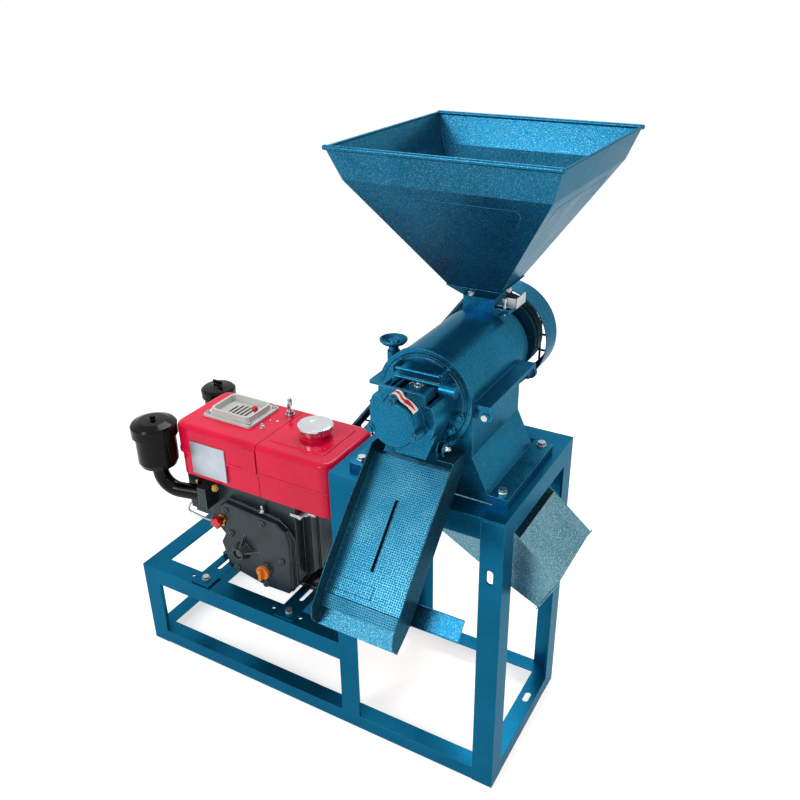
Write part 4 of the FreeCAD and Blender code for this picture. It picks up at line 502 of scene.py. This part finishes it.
def ribbon(mesh, path, widths, thick):
    """Strip across Y along a path of (x, z) places, grown from one edge step by step."""
    half = widths[0] / 2
    verts = [mesh.verts.new((path[0][0], BAND_MIDDLE - half, path[0][1])),
             mesh.verts.new((path[0][0], BAND_MIDDLE + half, path[0][1]))]
    edge = mesh.edges.new(verts)
    for (x, z), width in zip(path[1:], widths[1:]):
        made = bmesh.ops.extrude_edge_only(mesh, edges=[edge])["geom"]
        edge = [e for e in made if isinstance(e, bmesh.types.BMEdge)][0]
        for v in edge.verts:
            side = -1 if v.co.y < BAND_MIDDLE else 1
            v.co = (x, BAND_MIDDLE + side * width / 2, z)
    bmesh.ops.recalc_face_normals(mesh, faces=mesh.faces)
    bmesh.ops.solidify(mesh, geom=list(mesh.faces), thickness=thick)


def turning_arrow():
    """White band over the cap, and a red arrow that starts and ends inside it."""
    white = bmesh.new()
    path = band_path(BAND_LIFT)
    ribbon(white, path, [BAND_WIDTH] * len(path), BAND_THICK)
    keep("arrow_band", white, "white_plastic", ARROW_WHITE)
    red = bmesh.new()
    path = band_path(STRIPE_LIFT)[2:-1]
    widths = [STRIPE_WIDTH] * (len(path) - ARROW_STEPS)
    widths += [ARROW_WIDTH * (1.0 - k / ARROW_STEPS) + 0.05 for k in range(ARROW_STEPS)]
    ribbon(red, path, widths, STRIPE_THICK)
    keep("arrow_stripe", red, "red_plastic", ARROW_RED)


def lid_wing_nut():
    """Wing nut that holds the outlet drum's lid."""
    mesh = bmesh.new()
    matrix = seat(LID_NUT, UP)
    lathe(mesh, matrix, [(0, 0), (9, 0), (9, 1.6), (6, 1.8), (6, 7), (5, 9), (3.2, 9.4), (3.2, 15),
                         (2.6, 16), (0, 16)])
    turned = matrix @ Matrix.Rotation(math.radians(35.0), 4, "Z")
    for side in (-1, 1):
        wing = turned @ Matrix.Rotation(side * math.radians(24.0), 4, "Y")
        inner, outer = sorted((4 * side, 15 * side))
        block(mesh, (inner, -1.4, 3), (outer, 1.4, 14), 1.2, wing)
    keep("lid_wing_nut", mesh, "zinc_steel")


def drum_clip():
    """Two round-ended plates at the drum's lower right, held by a screw."""
    y, z = CLIP_PIN
    mesh = bmesh.new()
    for x in CLIP_PLATES:
        lathe(mesh, seat((x, y, z), RIGHT), [(0, 0), (13, 0), (13.5, 0.6), (13.5, 3.4), (13, 4), (0, 4)])
        block(mesh, (x, y - 10, z - 14), (x + CLIP_PLATE, y + 20, z), 0.8)
    keep("drum_clip", mesh, "blue_paint")
    mesh = bmesh.new()
    hex_screw(mesh, (CLIP_PLATES[-1] + CLIP_PLATE, y, z), RIGHT, *CLIP_SCREW, shank=3.0)
    keep("drum_clip_screw", mesh, "zinc_steel")


def collar_screws():
    """Screws through the sloping collar under the hopper."""
    mesh = bmesh.new()
    for direction, place in COLLAR_SCREWS:
        hex_screw(mesh, place, direction, *COLLAR_SCREW, shank=2.0)
    keep("collar_screws", mesh, "zinc_steel")


def hinge_heads():
    """Heads on the ends of the cover's two hinge pins."""
    mesh = bmesh.new()
    x, z = HINGE_LINE
    for y, way in HINGE_PINS:
        hex_screw(mesh, (x, y, z), (0, way, 0), *HINGE_HEAD)
    keep("hinge_pin_heads", mesh, "blue_paint")


# Engine trim

# Head radius and height of the screws.
EXHAUST_NUT, STUD_NUT = (7.0, 6.0), (7.5, 6.0)
GRILLE_SCREW, TOP_SCREW = (5.6, 4.0), (6.0, 4.4)
TOP_PLUG, TOP_PIN, RIVET = (4.0, 2.0), (2.4, 1.2), (2.0, 1.2)
GEAR_COVER_Y = 60
GEAR_COVER_BOLTS = ((-754, 411), (-651.5, 473), (-602, 377), (-748, 306), (-655, 291), (-766, 474))
EXHAUST_NUTS = ((-845, 66, 533), (-845, 66, 465))
FUEL_UNION = ((-792, 64, 534), (0.55, -0.8, 0.25))
CASE_STUD = (-660, 76, 498)
GRILLE_SCREWS = ((-722.5, 131), (-722.5, 233), (-849.5, 131), (-849.5, 233))
GRILLE_TOP = 695
TANK_TOP = 690
PLATE_LEFT, PLATE_RIGHT = -854.0, -747.0
PLATE_LOW, PLATE_HIGH = 561.0, 652.0
PLATE_FRONT, PLATE_DEPTH = 58.6, 7.4
RIVET_INSET = 4.0


def gear_cover_bolts():
    """Painted bolts in raised seats round the gear cover."""
    mesh = bmesh.new()
    for k, (x, z) in enumerate(GEAR_COVER_BOLTS):
        matrix = seat((x, GEAR_COVER_Y, z), FRONT)
        lathe(mesh, matrix, [(0, -2), (10.5, -2), (9.5, 2.4), (8.5, 3), (0, 3)])
        hexagon(mesh, matrix, 7.0, 2.6, 8.0, 11.0 * k)
    keep("gear_cover_bolts", mesh, "grey_casting")


def brass_fittings():
    """Nuts of the exhaust flange and the fuel union beside it."""
    mesh = bmesh.new()
    for place in EXHAUST_NUTS:
        hex_screw(mesh, place, LEFT, *EXHAUST_NUT, shank=4.0)
    matrix = seat(*FUEL_UNION)
    lathe(mesh, matrix, [(0, -8), (6, -8), (6, 2), (8.5, 3), (8.5, 7), (6.2, 8), (6.2, 16), (4, 18),
                         (0, 18)])
    hexagon(mesh, matrix, 9.0, 8.0, 14.0)
    keep("brass_fittings", mesh, "brass")


def case_stud():
    """Nut and stud on the case, under the fuel tank."""
    mesh = bmesh.new()
    hex_screw(mesh, CASE_STUD, UP, *STUD_NUT, shank=9.0)
    keep("case_stud", mesh, "zinc_steel")


def top_screws():
    """Screws of the grille frame, each at its own angle, and three more on the water hopper's top."""
    mesh = bmesh.new()
    for x, y in GRILLE_SCREWS:
        hex_screw(mesh, (x, y, GRILLE_TOP), UP, *GRILLE_SCREW, shank=3.5, turn=x)
    hex_screw(mesh, (-692, 144, TANK_TOP), UP, *TOP_SCREW, shank=4.0)
    pan_screw(mesh, (-678, 186, TANK_TOP), UP, *TOP_PLUG)
    pan_screw(mesh, (-697, 182, TANK_TOP), UP, *TOP_PIN)
    keep("hopper_top_screws", mesh, "zinc_steel")


def name_plate():
    """Blank aluminium plate on the front of the water hopper, with four rivets."""
    mesh = bmesh.new()
    near_corner = (PLATE_LEFT, PLATE_FRONT, PLATE_LOW)
    far_corner = (PLATE_RIGHT, PLATE_FRONT + PLATE_DEPTH, PLATE_HIGH)
    block(mesh, near_corner, far_corner, 0.6)
    keep("blank_plate", mesh, "aluminium", PLATE_SILVER)
    mesh = bmesh.new()
    for z in (PLATE_LOW + RIVET_INSET, PLATE_HIGH - RIVET_INSET):
        for x in (PLATE_LEFT + RIVET_INSET, PLATE_RIGHT - RIVET_INSET):
            pan_screw(mesh, (x, PLATE_FRONT + 0.1, z), FRONT, *RIVET)
    keep("plate_rivets", mesh, "zinc_steel")


# Sheet metal trim

# Radii of the pressed lines and rolled edges.
HOPPER_LINE_R, PRESSING_R, CHEEK_R = 1.5, 0.9, 1.3
HOPPER_MIDDLE = (-198.0, 320.0)
HOPPER_LOW, HOPPER_HIGH = 1086.0, 1315.0
HOPPER_LOW_HALF, HOPPER_HIGH_HALF = 56.0, 208.0
# The line's width as a share of the side's at the same height, and its corners as (across, up).
LINE_SHARE = 0.78
HOPPER_LINE = ((-1, 0.2), (-0.86, 0.12), (0.86, 0.12), (1, 0.2), (1, 0.84), (0.94, 0.9), (-0.94, 0.9),
               (-1, 0.84))
# Upper end of the tray's floor as (y, z), then places as (x, down the slope) or (down the slope, above).
TRAY_TOP = (28.0, 800.0)
TRAY_PRESSING = ((-281, 262), (-196, 262), (-196, 288), (-281, 288))
PRESSING_RISE = 7.7
TRAY_CHEEKS = (("tray_left_edge", -291.2), ("tray_right_edge", -111.8))
CHEEK_TOP = (2.0, 830.0)
CHEEK_EDGE = ((110, 48), (250, 48), (334, 42), (353, 28), (360, 8))


def on_hopper(across, up, side):
    """Place on a side of the hopper: across from -1 to 1 between the line's ends, up from 0 to 1."""
    half = HOPPER_LOW_HALF + (HOPPER_HIGH_HALF - HOPPER_LOW_HALF) * up
    u = across * half * LINE_SHARE
    out = half + 1.0
    x, y = ((u, -out), (out, u), (-u, out), (-out, -u))[side]
    return (HOPPER_MIDDLE[0] + x, HOPPER_MIDDLE[1] + y, HOPPER_LOW + (HOPPER_HIGH - HOPPER_LOW) * up)


def hopper_lines():
    """Pressed line round each side of the hopper, standing a little proud."""
    for side in range(4):
        corners = [on_hopper(across, up, side) for across, up in HOPPER_LINE]
        line_bar("hopper_line_%d" % side, corners, HOPPER_LINE_R, SHEET_ENAMEL)


def on_tray(x, along, above):
    """Place on the leaning tray: so far down its slope and above its floor."""
    a = math.radians(TRAY_LEAN)
    y = TRAY_TOP[0] - along * math.cos(a) - above * math.sin(a)
    return (x, y, TRAY_TOP[1] - along * math.sin(a) + above * math.cos(a))


def tray_trim():
    """Pressed outline near the tray's lower left and the rolled edges of its cheeks."""
    corners = [on_tray(x, along, PRESSING_RISE) for x, along in TRAY_PRESSING]
    line_bar("tray_pressing", corners, PRESSING_R, TRAY_ENAMEL)
    for name, x in TRAY_CHEEKS:
        edge = [(x, *CHEEK_TOP)] + [on_tray(x, along, above) for along, above in CHEEK_EDGE]
        line_bar(name, edge, CHEEK_R, TRAY_ENAMEL, closed=False)


# Frame trim

# Sizes of the stand, and heights between which its rails are welded to the legs.
LEG = 50.0
LEFT_END, MIDDLE_LEG, REAR = -1030.0, -402.0, 386.0
ENGINE_DECK, HULLER_DECK = 254.0, 728.0
BASE_WELD = (4.0, 36.0)
ENGINE_WELD = (ENGINE_DECK - 50.0, ENGINE_DECK - 4.0)
HULLER_WELD = (HULLER_DECK - 46.0, HULLER_DECK - 6.0)
WELD_R, DECK_WELD_R = 2.2, 2.4
DROP_PITCH, DROP_RIPPLE = 2.6, 0.12


def bead(mesh, start, end, radius):
    """Rippled weld bead: overlapping half-sunk drops along a line."""
    a, b = Vector(start), Vector(end)
    count = int((b - a).length / DROP_PITCH)
    for k in range(count + 1):
        size = radius * (1.0 + DROP_RIPPLE * math.sin(2.3 * k))
        drop = Matrix.Translation(a.lerp(b, k / count))
        bmesh.ops.create_icosphere(mesh, subdivisions=2, radius=size, matrix=drop)


def weld_beads():
    """Beads where the rails meet the legs, up the front and right side, and on the engine deck's end."""
    corners = [(x, 3, ENGINE_WELD) for x in (LEFT_END + LEG, MIDDLE_LEG - LEG)]
    corners += [(x, 2, HULLER_WELD) for x in (-LEG, MIDDLE_LEG + LEG, MIDDLE_LEG)]
    corners += [(x, 2, BASE_WELD) for x in (LEFT_END + LEG, -LEG)]
    corners += [(-2, LEG, HULLER_WELD), (-2, REAR - LEG, HULLER_WELD), (-2, LEG, BASE_WELD)]
    mesh = bmesh.new()
    for x, y, (low, high) in corners:
        bead(mesh, (x, y, low), (x, y, high), WELD_R)
    bead(mesh, (MIDDLE_LEG - 50, 48, ENGINE_DECK), (MIDDLE_LEG - 2, 48, ENGINE_DECK), DECK_WELD_R)
    bead(mesh, (MIDDLE_LEG - 38, 1, ENGINE_DECK - 2), (MIDDLE_LEG - 6, 1, ENGINE_DECK - 2), DECK_WELD_R)
    keep("weld_beads", mesh, "blue_paint", FRAME_ENAMEL, 60.0)


def trim():
    front_bolts()
    turning_arrow()
    lid_wing_nut()
    drum_clip()
    collar_screws()
    gear_cover_bolts()
    brass_fittings()
    case_stud()
    top_screws()
    name_plate()
    hopper_lines()
    tray_trim()
    weld_beads()
    hinge_heads()


# Stage, in metres

FLOOR_HALF = 9.0
# Glow of the floor for the eye alone, so that it meets the white ground without a seam.
FLOOR_GLOW = 0.62
SOFT_LIGHT = 0.55
LAMPS = (("key_softbox", (-0.9, -2.8, 2.35), (0.0, 0.0, 0.75), (1.3, 1.3), 46.0, "#FFFFFF"),
         ("side_softbox", (2.8, -0.5, 1.9), (0.0, 0.0, 0.8), (0.9, 1.3), 30.0, "#FFD6A0"),
         ("back_softbox", (-0.5, 1.7, 3.3), (0.0, 0.0, 0.8), (1.8, 1.4), 46.0, "#FFFFFF"))


def background_ray(tree):
    """1 where the eye, a gloss or a glass looks straight at the white ground."""
    path = node(tree, "ShaderNodeLightPath").outputs
    seen = node(tree, "ShaderNodeMath", {0: path["Is Camera Ray"], 1: path["Is Glossy Ray"]},
                operation="MAXIMUM")
    through = node(tree, "ShaderNodeMath", {0: seen.outputs["Value"], 1: path["Is Transmission Ray"]},
                   operation="MAXIMUM")
    return through.outputs["Value"]


def floor():
    """Matt white studio floor with a barely clouded tone."""
    mesh = bmesh.new()
    bmesh.ops.create_grid(mesh, x_segments=1, y_segments=1, size=FLOOR_HALF)
    data = bpy.data.meshes.new("floor")
    mesh.to_mesh(data)
    mesh.free()
    sheet = bpy.data.objects.new("floor", data)
    bpy.context.collection.objects.link(sheet)
    mat, tree, shader = finish("matt_white_floor", 0.9)
    place = node(tree, "ShaderNodeTexCoord").outputs["Object"]
    speck = node(tree, "ShaderNodeTexNoise", {"Vector": place, "Scale": per_metre(400.0), "Detail": 2.0})
    colour = node(tree, "ShaderNodeValToRGB", {"Fac": speck.outputs["Fac"]},
                  [(0.3, "#DCDCDC"), (0.7, "#D8D8D8")])
    glow = node(tree, "ShaderNodeMath", {0: background_ray(tree), 1: FLOOR_GLOW}, operation="MULTIPLY")
    shader.inputs["Emission Color"].default_value = linear("#FFFFFF")
    plug_in(tree, shader, base_color=colour.outputs["Color"], emission_strength=glow.outputs["Value"])
    data.materials.append(mat)


def white_ground():
    """World that is plain white to the eye and in reflections, and a softer light on the object."""
    world = bpy.data.worlds.new("studio")
    bpy.context.scene.world = world
    world.use_nodes = True
    tree = world.node_tree
    tree.nodes.clear()
    soft = node(tree, "ShaderNodeBackground", {"Color": linear("#F6F8FA"), "Strength": SOFT_LIGHT})
    white = node(tree, "ShaderNodeBackground", {"Color": linear("#FFFFFF"), "Strength": 1.0})
    mixed = node(tree, "ShaderNodeMixShader", {"Fac": background_ray(tree),
                                               1: soft.outputs["Background"],
                                               2: white.outputs["Background"]})
    node(tree, "ShaderNodeOutputWorld", {"Surface": mixed.outputs["Shader"]})


def lights():
    for name, place, aim, size, watts, colour in LAMPS:
        data = bpy.data.lights.new(name, "AREA")
        data.shape = "RECTANGLE"
        data.size, data.size_y = size
        data.energy = watts
        data.color = linear(colour)[:3]
        light = bpy.data.objects.new(name, data)
        bpy.context.collection.objects.link(light)
        light.location = place
        light.rotation_euler = (Vector(aim) - Vector(place)).to_track_quat("-Z", "Y").to_euler()


bpy.context.scene.view_settings.view_transform = "Standard"
camera()
dress_nodes()
trim()
floor()
white_ground()
lights()
